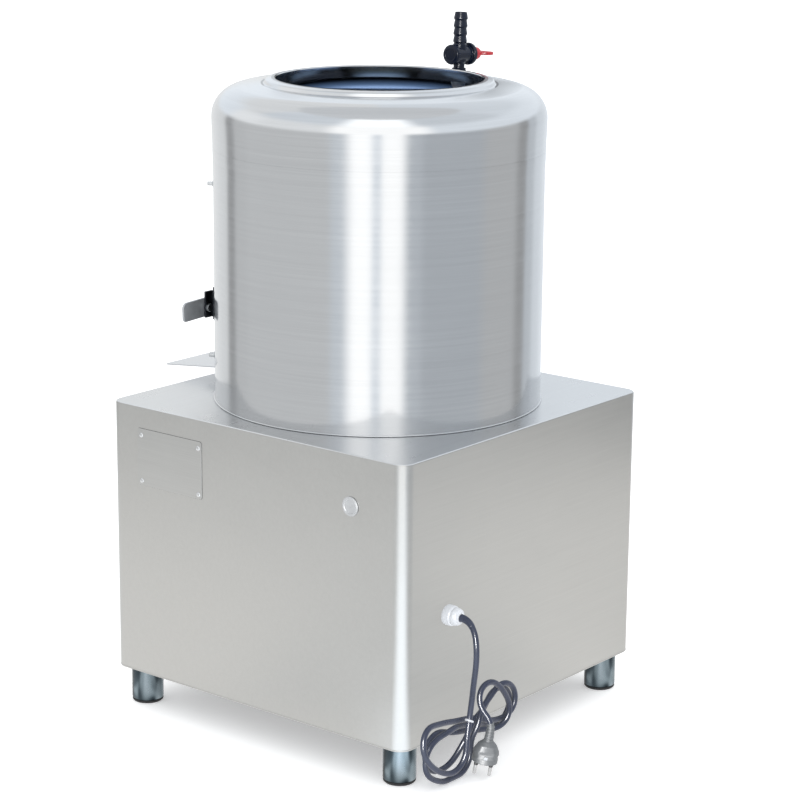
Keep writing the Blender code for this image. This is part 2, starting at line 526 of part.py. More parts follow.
# ---------------------------------------------------------------- drive
def drive():
    bottom = ZT - PAN_DEPTH - GAP
    housing = [(0.0620, bottom), (0.0263, bottom), (0.0263, 0.3517), (0.0200, 0.3517), (0.0200, 0.1973), (0.0263, 0.1973),
               (0.0263, 0.1700), (0.0360, 0.1700), (0.0400, 0.1740), (0.0400, bottom - 0.0160), (0.0480, bottom - 0.0080), (0.0620, bottom - 0.0080)]
    piece("bearing_housing", turned(housing, 20), "cast_iron")
    for name, z in (("upper_bearing", 0.3520), ("lower_bearing", 0.1820)):
        piece(name, turned([(0.0260, z), (0.0260, z + 0.015), (0.0128, z + 0.015), (0.0128, z)], 20), "bearing_steel")
    z = ZT - PAN_DEPTH + 0.004
    piece("shaft_seal", turned([(0.0296, z), (0.0296, z + 0.008), (0.0128, z + 0.008), (0.0128, z)], 16), "black_rubber")

    at = (0, 0, ZT + DISC_Z)
    spin = (0, 0, ZT + DISC_Z)
    shaft = [(0, 0.0900), (0.0125, 0.0900), (0.0125, ZT + 0.0037), (0.0080, ZT + 0.0037), (0.0080, ZT + 0.0330), (0, ZT + 0.0330)]
    piece("main_shaft", turned(shaft, 16, closed=False), "bearing_steel", origin=spin)
    top = [(r, 0.0100) for r in (0.0360, 0.0600, 0.1100, 0.1750, DISC_R)]
    disc = [(0.0083, -0.0060), (0.0083, 0.0140), (0.0300, 0.0140)] + top + [
        (DISC_R, 0), (0.0385, 0), (0.0385, -0.0300), (0.0345, -0.0300), (0.0345, -0.0080), (0.0220, -0.0080),
        (0.0220, -0.0160), (0.0128, -0.0160), (0.0128, -0.0060)]
    bm = turned(disc, 36, at)
    rise = {0.06: 0.5, 0.11: 1.0, 0.175: 0.8}
    for v in bm.verts:                       # three waves that lift and turn the potatoes
        if abs(v.co.z - at[2] - 0.0100) < 1e-5:
            r = round(math.hypot(v.co.x, v.co.y), 4)
            w = rise.get(r, 0.0)
            v.co.z += 0.0095 * w * max(0.0, math.cos(3 * math.atan2(v.co.y, v.co.x))) ** 2
    piece("abrasive_disc", bm, "disc_grit", origin=spin)
    z = ZT + DISC_Z + 0.0140 + GAP
    nut = turned([(0.0084, z), (0.0130, z), (0.0130, z + 0.0080), (0.0100, z + 0.0112), (0.0084, z + 0.0112)], 12)
    piece("disc_nut", nut, "bearing_steel", origin=spin)

    b = BELT_Z
    big = [(0.0128, b - 0.0150), (0.0240, b - 0.0150), (0.0240, b - 0.0040), (0.0970, b - 0.0040), (0.0970, b - 0.0110),
           (BIG_R, b - 0.0110), (BIG_R, b - 0.0065), (BIG_R - 0.0115, b - 0.0040), (BIG_R - 0.0115, b + 0.0040),
           (BIG_R, b + 0.0065), (BIG_R, b + 0.0110), (0.0970, b + 0.0110), (0.0970, b + 0.0040), (0.0240, b + 0.0040),
           (0.0240, b + 0.0150), (0.0128, b + 0.0150)]
    piece("drive_pulley", turned(big, 24), "cast_iron", origin=spin)

    at = (0, MOTOR_Y, 0)
    spin = (0, MOTOR_Y, BELT_Z)
    small = [(0.0098, b - 0.0130), (SMALL_R, b - 0.0130), (SMALL_R, b - 0.0065), (SMALL_R - 0.0115, b - 0.0040),
             (SMALL_R - 0.0115, b + 0.0040), (SMALL_R, b + 0.0065), (SMALL_R, b + 0.0130), (0.0098, b + 0.0130)]
    piece("motor_pulley", turned(small, 16, at), "cast_iron", origin=spin)
    piece("motor_shaft", rod(0.0095, 0.0920, 0.1720, 12, at), "bearing_steel", origin=spin)
    z = 0.1453
    motor = [(0.0100, z), (0.0750, z), (0.0750, z + 0.0100), (0.0690, z + 0.0160), (0.0690, 0.2960), (0.0720, 0.2980),
             (0.0720, 0.3380), (0.0640, 0.3450), (0, 0.3450), (0, 0.1740), (0.0100, 0.1740)]
    motor = [(0, 0.1740), (0.0100, 0.1740)] + motor[:9]
    piece("motor_body", turned(motor, 24, at, closed=False), "motor_paint")
    plate = piece("motor_plate", block(-0.2150, 0.2150, 0.0830, 0.2370, 0.0557, 0.1450), "frame_paint", smooth=False)
    tool(plate, block(-0.2110, 0.2110, 0.0700, 0.2500, 0.0400, 0.1400))
    tool(plate, rod(0.0220, 0.1300, 0.1500, 16, at))

    bm = bmesh.new()
    loops = []
    for r_big, r_small, half in ((BIG_R - 0.0005, SMALL_R - 0.0005, 0.0055), (BIG_R - 0.0097, SMALL_R - 0.0097, 0.0037)):
        lean = math.asin((r_big - r_small) / MOTOR_Y)     # straight runs leave the pulleys at this angle
        pts = []
        n_big, n_small = 20, 8
        for i in range(n_big + 1):
            a = math.pi - lean + (math.pi + 2 * lean) * i / n_big
            pts.append((r_big * math.cos(a), r_big * math.sin(a)))
        for i in range(n_small + 1):
            a = lean + (math.pi - 2 * lean) * i / n_small
            pts.append((r_small * math.cos(a), MOTOR_Y + r_small * math.sin(a)))
        for z in (BELT_Z - half, BELT_Z + half):
            loops.append([bm.verts.new((x, y, z)) for x, y in pts])
    n = len(loops[0])
    for p, q in ((0, 1), (1, 3), (3, 2), (2, 0)):
        for i in range(n):
            bm.faces.new((loops[p][i], loops[p][(i + 1) % n], loops[q][(i + 1) % n], loops[q][i]))
    piece("drive_belt", bm, "black_rubber", smooth=False)


# ---------------------------------------------------------------- lead
def lead():
    x, z = GLAND
    gland = [(0, 0.2400), (0.0098, 0.2400), (0.0098, 0.2503), (0.0128, 0.2503), (0.0128, 0.2575), (0.0118, 0.2590),
             (0.0118, 0.2665), (0.0075, GLAND_END), (0, GLAND_END)]
    piece("cable_gland", turned(gland, 16, (x, 0, z), "Y", closed=False), "white_plastic")

    ctrl = [(x, GLAND_END + GAP, z), (x, 0.2805, z), (0.1690, 0.2950, 0.2070), (0.1770, 0.3060, 0.1870), (0.1725, 0.3025, 0.1580),
            (0.1655, 0.2935, 0.1300), (0.1570, 0.2855, 0.1080), (0.1490, 0.2770, 0.0860)]
    stop = 0.0925                             # height at which the lead joins the hank
    pts = [b_spline(ctrl, i / 200) for i in range(201)]
    pts = [p for p in pts if p.z >= stop]
    step = (len(pts) - 1) / 24
    pts = [pts[round(i * step)] for i in range(25)]
    curve = bpy.data.curves.new("power_cord", "CURVE")
    curve.dimensions = "3D"
    curve.bevel_depth = CORD_D / 2
    curve.bevel_resolution = 2
    curve.use_fill_caps = True
    spline = curve.splines.new("POLY")
    spline.points.add(len(pts) - 1)
    for sp, p in zip(spline.points, pts):
        sp.co = (*p, 1.0)
    curve.materials.append(material("power_cord_cord_pvc", *COLOURS["cord_pvc"]))
    link("power_cord", curve)

    # the hank: two lobes drawn in x and z, with a waist where the tie holds it
    cx, cy, cz = HANK_C
    u = Vector((math.cos(HANK_TILT), -math.sin(HANK_TILT)))
    v = Vector((math.sin(HANK_TILT), math.cos(HANK_TILT)))
    waist, c = 0.0125, Vector((cx, cz))

    def lobe(x, z, r, side):
        """Points of one lobe from one end of the waist round to the other."""
        m = Vector((x, z))
        out = []
        ends = []
        for s in (1, -1):
            w = c + v * waist * s + u * 0.0034 * side
            d = m - w
            base = math.atan2(d.y, d.x)
            turn = math.asin(min(0.999, r / d.length))
            spread = base + turn * s * side
            reach = math.sqrt(d.length ** 2 - r ** 2)
            t = w + Vector((math.cos(spread), math.sin(spread))) * reach
            ends.append(math.atan2(t.y - z, t.x - x))
        a, b = ends
        if side > 0:
            while b > a:
                b -= 2 * math.pi
        else:
            while b < a:
                b += 2 * math.pi
        for i in range(15):
            t = a + (b - a) * i / 14
            out.append((x + r * math.cos(t), z + r * math.sin(t)))
        return out

    left = lobe(*HANK_LEFT, 1)
    right = lobe(*HANK_RIGHT, -1)
    flat = [tuple(c + v * waist * s + u * 0.0034 * d) for s, d in ((1, -1), (1, 1), (-1, 1), (-1, -1))]
    outline = flat[:2] + left + flat[2:] + right[::-1]
    bm = prism(outline, -HANK_T / 2, HANK_T / 2)
    moved(bm, Matrix(((1, 0, 0, 0), (0, 0, 1, cy), (0, 1, 0, 0), (0, 0, 0, 1))))
    piece("cord_hank", bm, "cord_pvc")

    band = []
    for grow in (GAP, 0.0015):
        hy, hv = HANK_T / 2 + grow, waist + grow
        band.append([(hy, hv), (-hy, hv), (-hy, -hv), (hy, -hv)])
    bm = bmesh.new()
    rings = []
    for du in (-0.0020, 0.0020):
        for ring in band:
            rings.append([bm.verts.new((cx + u.x * du + v.x * q, cy + p, cz + u.y * du + v.y * q)) for p, q in ring])
    for p, q in ((0, 1), (1, 3), (3, 2), (2, 0)):
        for i in range(4):
            bm.faces.new((rings[p][i], rings[p][(i + 1) % 4], rings[q][(i + 1) % 4], rings[q][i]))
    piece("cord_tie", bm, "white_plastic", smooth=False)

    # the plug leans on its pins, with its face down
    side = Vector((-0.630, 0.777, 0)).normalized()
    up = side * math.sin(PLUG_LEAN) + Vector((0, 0, 1)) * math.cos(PLUG_LEAN)
    across = side * math.cos(PLUG_LEAN) - Vector((0, 0, 1)) * math.sin(PLUG_LEAN)
    third = up.cross(across)
    place = Matrix(((across.x, third.x, up.x, PLUG[0]), (across.y, third.y, up.y, PLUG[1]),
                    (across.z, third.z, up.z, PLUG[2]), (0, 0, 0, 1)))
    plug = [(0, 0), (0.0150, 0), (0.0165, 0.0015), (0.0165, 0.0120), (0.0150, 0.0170), (0.0115, 0.0235), (0.0075, 0.0265),
            (0.0060, 0.0280), (0.0052, 0.0330), (0, 0.0330)]
    piece("power_plug", moved(turned(plug, 16, closed=False), place), "grey_rubber")
    for name, s in (("plug_pin_near", 1), ("plug_pin_far", -1)):
        pin = [(0, -0.0190), (0.0016, -0.0188), (0.0024, -0.0175), (0.0024, -GAP), (0, -GAP)]
        piece(name, moved(turned(pin, 10, (0.0095 * s, 0, 0), closed=False), place), "bearing_steel")


# ---------------------------------------------------------------- assembly
clear_scene()
MACHINE = bpy.data.objects.new("machine", None)
bpy.context.scene.collection.objects.link(MACHINE)
MACHINE.location = (FOOTPRINT[0], FOOTPRINT[1], 0)

cabinet()
side_fittings()
switches()
drum()
chute()
door()
latch()
valve()
drive()
lead()
bpy.context.view_layer.update()
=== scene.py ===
"""Drum potato peeler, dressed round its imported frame: fine sheet-metal meshes, procedural
finishes, the wound mains lead, a pale floor and soft studio light.

Every mesh is written about the drum's axis (x = y = 0, floor z = 0), as the CAD is, and its
object is then shifted by AXIS, which is where that axis stands in the row frame.
"""
import json
import math

import bmesh
import bpy
import numpy as np
from mathutils import Matrix, Vector

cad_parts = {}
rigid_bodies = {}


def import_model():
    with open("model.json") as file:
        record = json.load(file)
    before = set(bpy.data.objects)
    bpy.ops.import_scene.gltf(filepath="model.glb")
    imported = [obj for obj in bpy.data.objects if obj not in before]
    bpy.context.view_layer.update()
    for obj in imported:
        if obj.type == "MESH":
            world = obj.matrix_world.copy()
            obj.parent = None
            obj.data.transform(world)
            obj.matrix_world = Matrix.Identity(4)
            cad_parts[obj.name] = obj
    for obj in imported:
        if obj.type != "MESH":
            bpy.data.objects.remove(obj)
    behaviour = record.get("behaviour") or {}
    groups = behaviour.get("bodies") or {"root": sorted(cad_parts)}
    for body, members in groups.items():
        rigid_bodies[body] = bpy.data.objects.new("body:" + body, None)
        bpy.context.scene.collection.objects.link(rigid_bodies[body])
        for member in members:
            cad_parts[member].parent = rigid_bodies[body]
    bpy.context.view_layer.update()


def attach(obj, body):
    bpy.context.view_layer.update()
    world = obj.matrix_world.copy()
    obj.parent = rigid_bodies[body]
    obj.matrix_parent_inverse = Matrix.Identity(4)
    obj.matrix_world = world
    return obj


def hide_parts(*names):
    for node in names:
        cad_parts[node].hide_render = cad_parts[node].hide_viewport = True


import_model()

AXIS = Vector((0.01360, 0.01965, 0.0))
SCENE = bpy.context.scene
PI = math.pi
deg = math.radians

# dimensions shared with the CAD
GAP = 0.0003
LEG_R, LEG_X, LEG_Y = 0.0212, 0.220, 0.2205
CAB_X, CAB_Y, SHEET, CORNER_R = 0.503, 0.500, 0.002, 0.018
ZB, ZT = 0.052, 0.421
DRUM_R, DRUM_T, SHELL_H = 0.2165, 0.0015, 0.350
LINER_R, SKIRT_R, SKIRT_Z = 0.2107, 0.2182, 0.334
SHOULDER_Z, SHOULDER_R, TOP_SLOPE = 0.374, 0.0395, deg(6.75)
MOUTH_R, LIP_Z = 0.1350, 0.4235
PAN_DEPTH, DRAIN_X, DRAIN_R, DRAIN_OUT = 0.042, -0.165, 0.0250, 0.030
DISC_R, DISC_Z = 0.205, 0.010
OPEN_X, OPEN_Z0, OPEN_Z1 = 0.068, 0.032, 0.210
DOOR_R, DOOR_T, DOOR_A, DOOR_Z0, DOOR_Z1 = 0.2199, 0.0020, deg(20.6), 0.0235, 0.2220
HINGE, HINGE_PIN_R = (-0.1017, -0.2041), 0.0040
LATCH_X, LATCH_Z, LEVER_BACK, LEVER_T, LEVER_H, LEVER_TIP = 0.0945, 0.104, -0.2226, 0.0035, 0.026, 0.1385
CHUTE_X, CHUTE_Y, CHUTE_Z_IN, CHUTE_Z_OUT, CHUTE_T = 0.085, -0.3115, 0.0205, 0.0100, 0.0020
MOTOR_Y, BELT_Z, BIG_R, SMALL_R = 0.160, 0.110, 0.1200, 0.0300
GLAND, GLAND_END, CORD_D = (0.165, 0.212), 0.2722, 0.0075
BOLT_A = deg(31.0 - 90.0)


# ================================================================ camera
def make_camera():
    data = bpy.data.cameras.new("camera")
    data.lens = 112.89
    data.sensor_width = 36.0
    data.clip_end = 100.0
    cam = bpy.data.objects.new("camera", data)
    SCENE.collection.objects.link(cam)
    right = (-0.62986101, 0.77666075, 0.00855479)
    up = (-0.1851326, -0.16081846, 0.96946549)
    back = (0.75432156, 0.60904475, 0.2450785)
    at = (2.50841953 + AXIS.x, 2.06371261 + AXIS.y, 1.18346464 + ZB)
    cam.matrix_world = Matrix(((right[0], up[0], back[0], at[0]),
                               (right[1], up[1], back[1], at[1]),
                               (right[2], up[2], back[2], at[2]),
                               (0, 0, 0, 1)))
    SCENE.camera = cam
    return cam


make_camera()
SCENE.view_settings.view_transform = "Standard"


# ================================================================ mesh helpers
def link(name, mesh, body=None, nodes=(), mats=(), at=AXIS):
    """Adds a finished mesh as a piece that rides on a body and stands for CAD nodes."""
    ob = bpy.data.objects.new(name, mesh)
    SCENE.collection.objects.link(ob)
    ob.location = at
    for m in mats:
        mesh.materials.append(m)
    bpy.context.view_layer.update()
    if body:
        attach(ob, body)
    if nodes:
        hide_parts(*nodes)
    return ob


def from_bm(name, bm, smooth=True):
    mesh = bpy.data.meshes.new(name)
    bmesh.ops.remove_doubles(bm, verts=bm.verts, dist=1e-6)
    bmesh.ops.recalc_face_normals(bm, faces=bm.faces)
    bm.to_mesh(mesh)
    bm.free()
    if smooth:
        mesh.shade_smooth()
    return mesh


def from_lists(name, verts, faces, smooth=True):
    mesh = bpy.data.meshes.new(name)
    mesh.from_pydata([tuple(v) for v in verts], [], faces)
    bm = bmesh.new()
    bm.from_mesh(mesh)
    bmesh.ops.remove_doubles(bm, verts=bm.verts, dist=1e-6)
    bmesh.ops.recalc_face_normals(bm, faces=bm.faces)
    bm.to_mesh(mesh)
    bm.free()
    if smooth:
        mesh.shade_smooth()
    return mesh


def weighted(ob, angle=None):
    """Keeps flat faces flat beside their rounded edges."""
    mod = ob.modifiers.new("normals", "WEIGHTED_NORMAL")
    mod.weight = 100
    mod.keep_sharp = True
    return ob


def creased(ob, angle=50):
    """Edges sharper than this angle stay sharp, so that long faces keep their own direction."""
    bm = bmesh.new()
    bm.from_mesh(ob.data)
    for e in bm.edges:
        if len(e.link_faces) == 2 and e.calc_face_angle(0.0) > deg(angle):
            e.smooth = False
    bm.to_mesh(ob.data)
    bm.free()
    return ob


def bevelled(ob, width, segments=3, angle=30):
    mod = ob.modifiers.new("edges", "BEVEL")
    mod.width = width
    mod.segments = segments
    mod.limit_method = "ANGLE"
    mod.angle_limit = deg(angle)
    mod.harden_normals = False
    return weighted(ob)


def cut(ob, bm, operation="DIFFERENCE"):
    """Applies one boolean to ob's own mesh and throws the cutter away."""
    mesh = from_bm("cutter", bm, smooth=False)
    cutter = bpy.data.objects.new("cutter", mesh)
    SCENE.collection.objects.link(cutter)
    cutter.matrix_world = ob.matrix_world
    mod = ob.modifiers.new("cut", "BOOLEAN")
    mod.operation = operation
    mod.solver = "EXACT"
    mod.object = cutter
    bpy.context.view_layer.update()
    graph = bpy.context.evaluated_depsgraph_get()
    done = bpy.data.meshes.new_from_object(ob.evaluated_get(graph))
    ob.modifiers.remove(mod)
    old = ob.data
    ob.data = done
    bpy.data.meshes.remove(old)
    bpy.data.objects.remove(cutter, do_unlink=True)
    bpy.data.meshes.remove(mesh)
    return ob


def rounded_profile(points, closed, steps=4):
    """Replaces each corner that carries a radius by an arc. Points are (r, z) or (r, z, radius)."""
    out = []
    n = len(points)
    for i, p in enumerate(points):
        rad = p[2] if len(p) > 2 else 0.0
        if rad <= 0 or (not closed and i in (0, n - 1)):
            out.append((p[0], p[1]))
            continue
        a, b = points[i - 1], points[(i + 1) % n]
        v1 = np.array([a[0] - p[0], a[1] - p[1]], float)
        v2 = np.array([b[0] - p[0], b[1] - p[1]], float)
        l1, l2 = np.linalg.norm(v1), np.linalg.norm(v2)
        v1, v2 = v1 / l1, v2 / l2
        half = math.acos(max(-1, min(1, float(v1 @ v2)))) / 2
        if half < 1e-3 or abs(half - PI / 2) < 1e-3:
            out.append((p[0], p[1]))
            continue
        t = min(rad / math.tan(half), 0.49 * l1, 0.49 * l2)
        rad = t * math.tan(half)
        mid = v1 + v2
        mid /= np.linalg.norm(mid)
        c = np.array(p[:2]) + mid * rad / math.sin(half)
        s, e = np.array(p[:2]) + v1 * t - c, np.array(p[:2]) + v2 * t - c
        a0, a1 = math.atan2(s[1], s[0]), math.atan2(e[1], e[0])
        while a1 - a0 > PI:
            a1 -= 2 * PI
        while a1 - a0 < -PI:
            a1 += 2 * PI
        for k in range(steps + 1):
            w = a0 + (a1 - a0) * k / steps
            out.append((c[0] + rad * math.cos(w), c[1] + rad * math.sin(w)))
    return out


def lathe_lists(profile, seg, closed):
    verts, faces = [], []
    ids = []
    for r, z in profile:
        if r < 1e-7:
            ids.append([len(verts)] * seg)
            verts.append((0.0, 0.0, z))
        else:
            ids.append(list(range(len(verts), len(verts) + seg)))
            for k in range(seg):
                a = 2 * PI * k / seg
                verts.append((r * math.cos(a), r * math.sin(a), z))
    pairs = list(zip(ids, ids[1:]))
    if closed:
        pairs.append((ids[-1], ids[0]))
    for p, q in pairs:
        for k in range(seg):
            j = (k + 1) % seg
            quad = [p[k], p[j], q[j], q[k]]
            seen = []
            for v in quad:
                if v not in seen:
                    seen.append(v)
            if len(seen) > 2:
                faces.append(seen)
    return verts, faces


def turn_axis(axis):
    if axis == "X":
        return Matrix.Rotation(PI / 2, 4, "Y")
    if axis == "Y":
        return Matrix.Rotation(-PI / 2, 4, "X")
    return Matrix.Identity(4)


def lathe(name, profile, seg=64, closed=True, centre=(0, 0, 0), axis="Z", steps=4, place=None):
    """Mesh of a turned profile with rounded corners. An open profile has both ends on the axis."""
    verts, faces = lathe_lists(rounded_profile(profile, closed, steps), seg, closed)
    mesh = from_lists(name, verts, faces)
    mesh.transform(Matrix.Translation(Vector(centre)) @ turn_axis(axis))
    if place is not None:
        mesh.transform(place)
    return mesh


def rod_bm(radius, h0, h1, seg, centre=(0, 0, 0), axis="Z", place=None):
    verts, faces = lathe_lists([(0, h0), (radius, h0), (radius, h1), (0, h1)], seg, False)
    bm = bmesh.new()
    vs = [bm.verts.new(v) for v in verts]
    for f in faces:
        bm.faces.new([vs[i] for i in f])
    m = Matrix.Translation(Vector(centre)) @ turn_axis(axis)
    bmesh.ops.transform(bm, matrix=(place @ m) if place is not None else m, verts=bm.verts)
    return bm


def prism_bm(outline, z0, z1, place=None):
    bm = bmesh.new()
    face = bm.faces.new([bm.verts.new((x, y, z0)) for x, y in outline])
    out = bmesh.ops.extrude_face_region(bm, geom=[face])
    top = [e for e in out["geom"] if isinstance(e, bmesh.types.BMVert)]
    bmesh.ops.translate(bm, verts=top, vec=(0, 0, z1 - z0))
    if place is not None:
        bmesh.ops.transform(bm, matrix=place, verts=bm.verts)
    return bm


def block_bm(x0, x1, y0, y1, z0, z1):
    return prism_bm([(x0, y0), (x1, y0), (x1, y1), (x0, y1)], z0, z1)


def rounded_box(hx, hy, r, steps=8, cx=0.0, cy=0.0):
    pts = []
    for k, (sx, sy) in enumerate([(1, 1), (-1, 1), (-1, -1), (1, -1)]):
        for i in range(steps + 1):
            a = PI / 2 * (k + i / steps)
            pts.append((cx + sx * (hx - r) + r * math.cos(a), cy + sy * (hy - r) + r * math.sin(a)))
    return pts


def sweep(name, points, radius, seg=24, ends=True, rough=None):
    """Tube along points (numpy, n by 3) with a frame that doesn't twist. radius is a number or one per point."""
    pts = np.asarray(points, float)
    n = len(pts)
    rad = np.full(n, radius) if np.isscalar(radius) else np.asarray(radius, float)
    tan = np.gradient(pts, axis=0)
    tan /= np.linalg.norm(tan, axis=1)[:, None]
    ref = np.array([0.0, 0.0, 1.0]) if abs(tan[0][2]) < 0.9 else np.array([1.0, 0.0, 0.0])
    side = np.cross(tan[0], ref)
    side /= np.linalg.norm(side)
    verts, faces = [], []
    for i in range(n):
        side = side - tan[i] * (side @ tan[i])
        side /= np.linalg.norm(side)
        other = np.cross(tan[i], side)
        for k in range(seg):
            a = 2 * PI * k / seg
            verts.append(pts[i] + (side * math.cos(a) + other * math.sin(a)) * rad[i])
    for i in range(n - 1):
        for k in range(seg):
            j = (k + 1) % seg
            faces.append((i * seg + k, i * seg + j, (i + 1) * seg + j, (i + 1) * seg + k))
    if ends:
        faces.append(tuple(range(seg))[::-1])
        faces.append(tuple((n - 1) * seg + k for k in range(seg)))
    return from_lists(name, verts, faces)


def front(r, a):
    """A point at radius r and angle a, counted from -Y towards +X."""
    return r * math.sin(a), -r * math.cos(a)


def slab_bm(r0, r1, a0, a1, z0, z1, steps):
    """Part of a tube wall on the front of the drum."""
    bm = bmesh.new()
    rings = []
    for i in range(steps + 1):
        a = a0 + (a1 - a0) * i / steps
        rings.append([bm.verts.new((*front(r, a), z)) for r, z in ((r0, z0), (r1, z0), (r1, z1), (r0, z1))])
    for p, q in zip(rings, rings[1:]):
        for k in range(4):
            bm.faces.new((p[k], p[(k + 1) % 4], q[(k + 1) % 4], q[k]))
    bm.faces.new(rings[0])
    bm.faces.new(rings[-1])
    return bm


def b_spline(ctrl, count):
    """Points of the clamped uniform cubic B-spline of these control points."""
    ctrl = np.asarray(ctrl, float)
    n = len(ctrl)
    knots = np.concatenate([[0.0] * 3, np.linspace(0, 1, n - 2), [1.0] * 3])
    t = np.linspace(0, 1 - 1e-9, count)
    k = np.clip(np.searchsorted(knots, t, side="right") - 1, 3, n - 1)
    d = [ctrl[k - 3 + j].copy() for j in range(4)]
    for r in range(1, 4):
        for j in range(3, r - 1, -1):
            lo, hi = knots[j + k - 3], knots[j + 1 + k - r]
            w = ((t - lo) / (hi - lo))[:, None]
            d[j] = (1 - w) * d[j - 1] + w * d[j]
    return d[3]


def even(points, step):
    seg = np.linalg.norm(np.diff(points, axis=0), axis=1)
    run = np.concatenate([[0], seg.cumsum()])
    s = np.linspace(0, run[-1], int(round(run[-1] / step)) + 1)
    return np.stack([np.interp(s, run, points[:, k]) for k in range(3)], 1)


# ================================================================ finishes
class Nodes:
    """Small builder for a procedural material."""

    def __init__(self, name):
        self.mat = bpy.data.materials.new(name)
        self.mat.use_nodes = True
        self.tree = self.mat.node_tree
        self.bsdf = self.tree.nodes["Principled BSDF"]
        self.coord = self.tree.nodes.new("ShaderNodeTexCoord").outputs["Object"]

    def new(self, kind, **inputs):
        node = self.tree.nodes.new("ShaderNode" + kind)
        for key, value in inputs.items():
            if key in ("operation", "data_type", "blend_type", "noise_dimensions", "feature", "wave_type", "bands_direction",
                       "direction_type", "axis", "musgrave_type", "distance", "interpolation_type", "rings_direction"):
                setattr(node, key, value)
        return node

    def wire(self, a, b):
        self.tree.links.new(a, b)

    def mapping(self, scale=(1, 1, 1), source=None, rotation=(0, 0, 0), location=(0, 0, 0)):
        m = self.new("Mapping")
        m.inputs["Scale"].default_value = scale
        m.inputs["Rotation"].default_value = rotation
        m.inputs["Location"].default_value = location
        self.wire(source or self.coord, m.inputs["Vector"])
        return m.outputs["Vector"]

    def noise(self, scale, vector=None, detail=4.0, rough=0.55, distortion=0.0):
        n = self.new("TexNoise")
        n.inputs["Scale"].default_value = scale
        n.inputs["Detail"].default_value = detail
        n.inputs["Roughness"].default_value = rough
        n.inputs["Distortion"].default_value = distortion
        self.wire(vector or self.coord, n.inputs["Vector"])
        return n.outputs["Fac"]

    def voronoi(self, scale, vector=None, feature="F1"):
        n = self.new("TexVoronoi", feature=feature)
        n.inputs["Scale"].default_value = scale
        self.wire(vector or self.coord, n.inputs["Vector"])
        return n.outputs["Distance"]

    def ramp(self, fac, stops, mode="LINEAR"):
        r = self.new("ValToRGB")
        r.color_ramp.interpolation = mode
        els = r.color_ramp.elements
        while len(els) > 1:
            els.remove(els[-1])
        els[0].position = stops[0][0]
        els[0].color = self.rgba(stops[0][1])
        for pos, col in stops[1:]:
            e = els.new(pos)
            e.color = self.rgba(col)
        self.wire(fac, r.inputs["Fac"])
        return r.outputs["Color"]

    @staticmethod
    def rgba(c):
        if isinstance(c, (int, float)):
            return (c, c, c, 1.0)
        return (*c[:3], 1.0)

    def math(self, op, a, b=None, c=None, clamp=False):
        n = self.new("Math", operation=op)
        n.use_clamp = clamp
        for i, v in enumerate((a, b, c)):
            if v is None:
                continue
            if isinstance(v, (int, float)):
                n.inputs[i].default_value = v
            else:
                self.wire(v, n.inputs[i])
        return n.outputs[0]

    def range(self, v, a0, a1, b0, b1):
        n = self.new("MapRange")
        n.inputs["From Min"].default_value = a0
        n.inputs["From Max"].default_value = a1
        n.inputs["To Min"].default_value = b0
        n.inputs["To Max"].default_value = b1
        self.wire(v, n.inputs["Value"])
        return n.outputs["Result"]

    def mix(self, fac, a, b, blend="MIX"):
        n = self.new("Mix", data_type="RGBA", blend_type=blend)
        for sock, v in ((n.inputs["Factor"], fac), (n.inputs[6], a), (n.inputs[7], b)):
            if isinstance(v, (int, float)):
                sock.default_value = v if sock.type == "VALUE" else self.rgba(v)
            elif isinstance(v, (tuple, list)):
                sock.default_value = self.rgba(v)
            else:
                self.wire(v, sock)
        return n.outputs[2]

    def xyz(self, source=None):
        n = self.new("SeparateXYZ")
        self.wire(source or self.coord, n.inputs[0])
        return n.outputs

    def join(self, x, y, z):
        n = self.new("CombineXYZ")
        for i, v in enumerate((x, y, z)):
            if isinstance(v, (int, float)):
                n.inputs[i].default_value = v
            else:
                self.wire(v, n.inputs[i])
        return n.outputs[0]

    def bump(self, height, strength, distance, under=None):
        n = self.tree.nodes.new("ShaderNodeBump")
        n.inputs["Strength"].default_value = strength
        n.inputs["Distance"].default_value = distance
        self.wire(height, n.inputs["Height"])
        if under is not None:
            self.wire(under, n.inputs["Normal"])
        return n.outputs["Normal"]

    def put(self, **values):
        names = {"color": "Base Color", "rough": "Roughness", "metal": "Metallic", "normal": "Normal", "spec": "Specular IOR Level",
                 "coat": "Coat Weight", "coat_rough": "Coat Roughness", "aniso": "Anisotropic", "aniso_rot": "Anisotropic Rotation",
                 "tangent": "Tangent", "emit": "Emission Color", "emit_power": "Emission Strength", "ior": "IOR", "sheen": "Sheen Weight"}
        for key, v in values.items():
            sock = self.bsdf.inputs[names[key]]
            if isinstance(v, (int, float)):
                sock.default_value = self.rgba(v) if sock.type == "RGBA" else v
            elif isinstance(v, (tuple, list)):
                sock.default_value = self.rgba(v)
            else:
                self.wire(v, sock)
        return self.mat


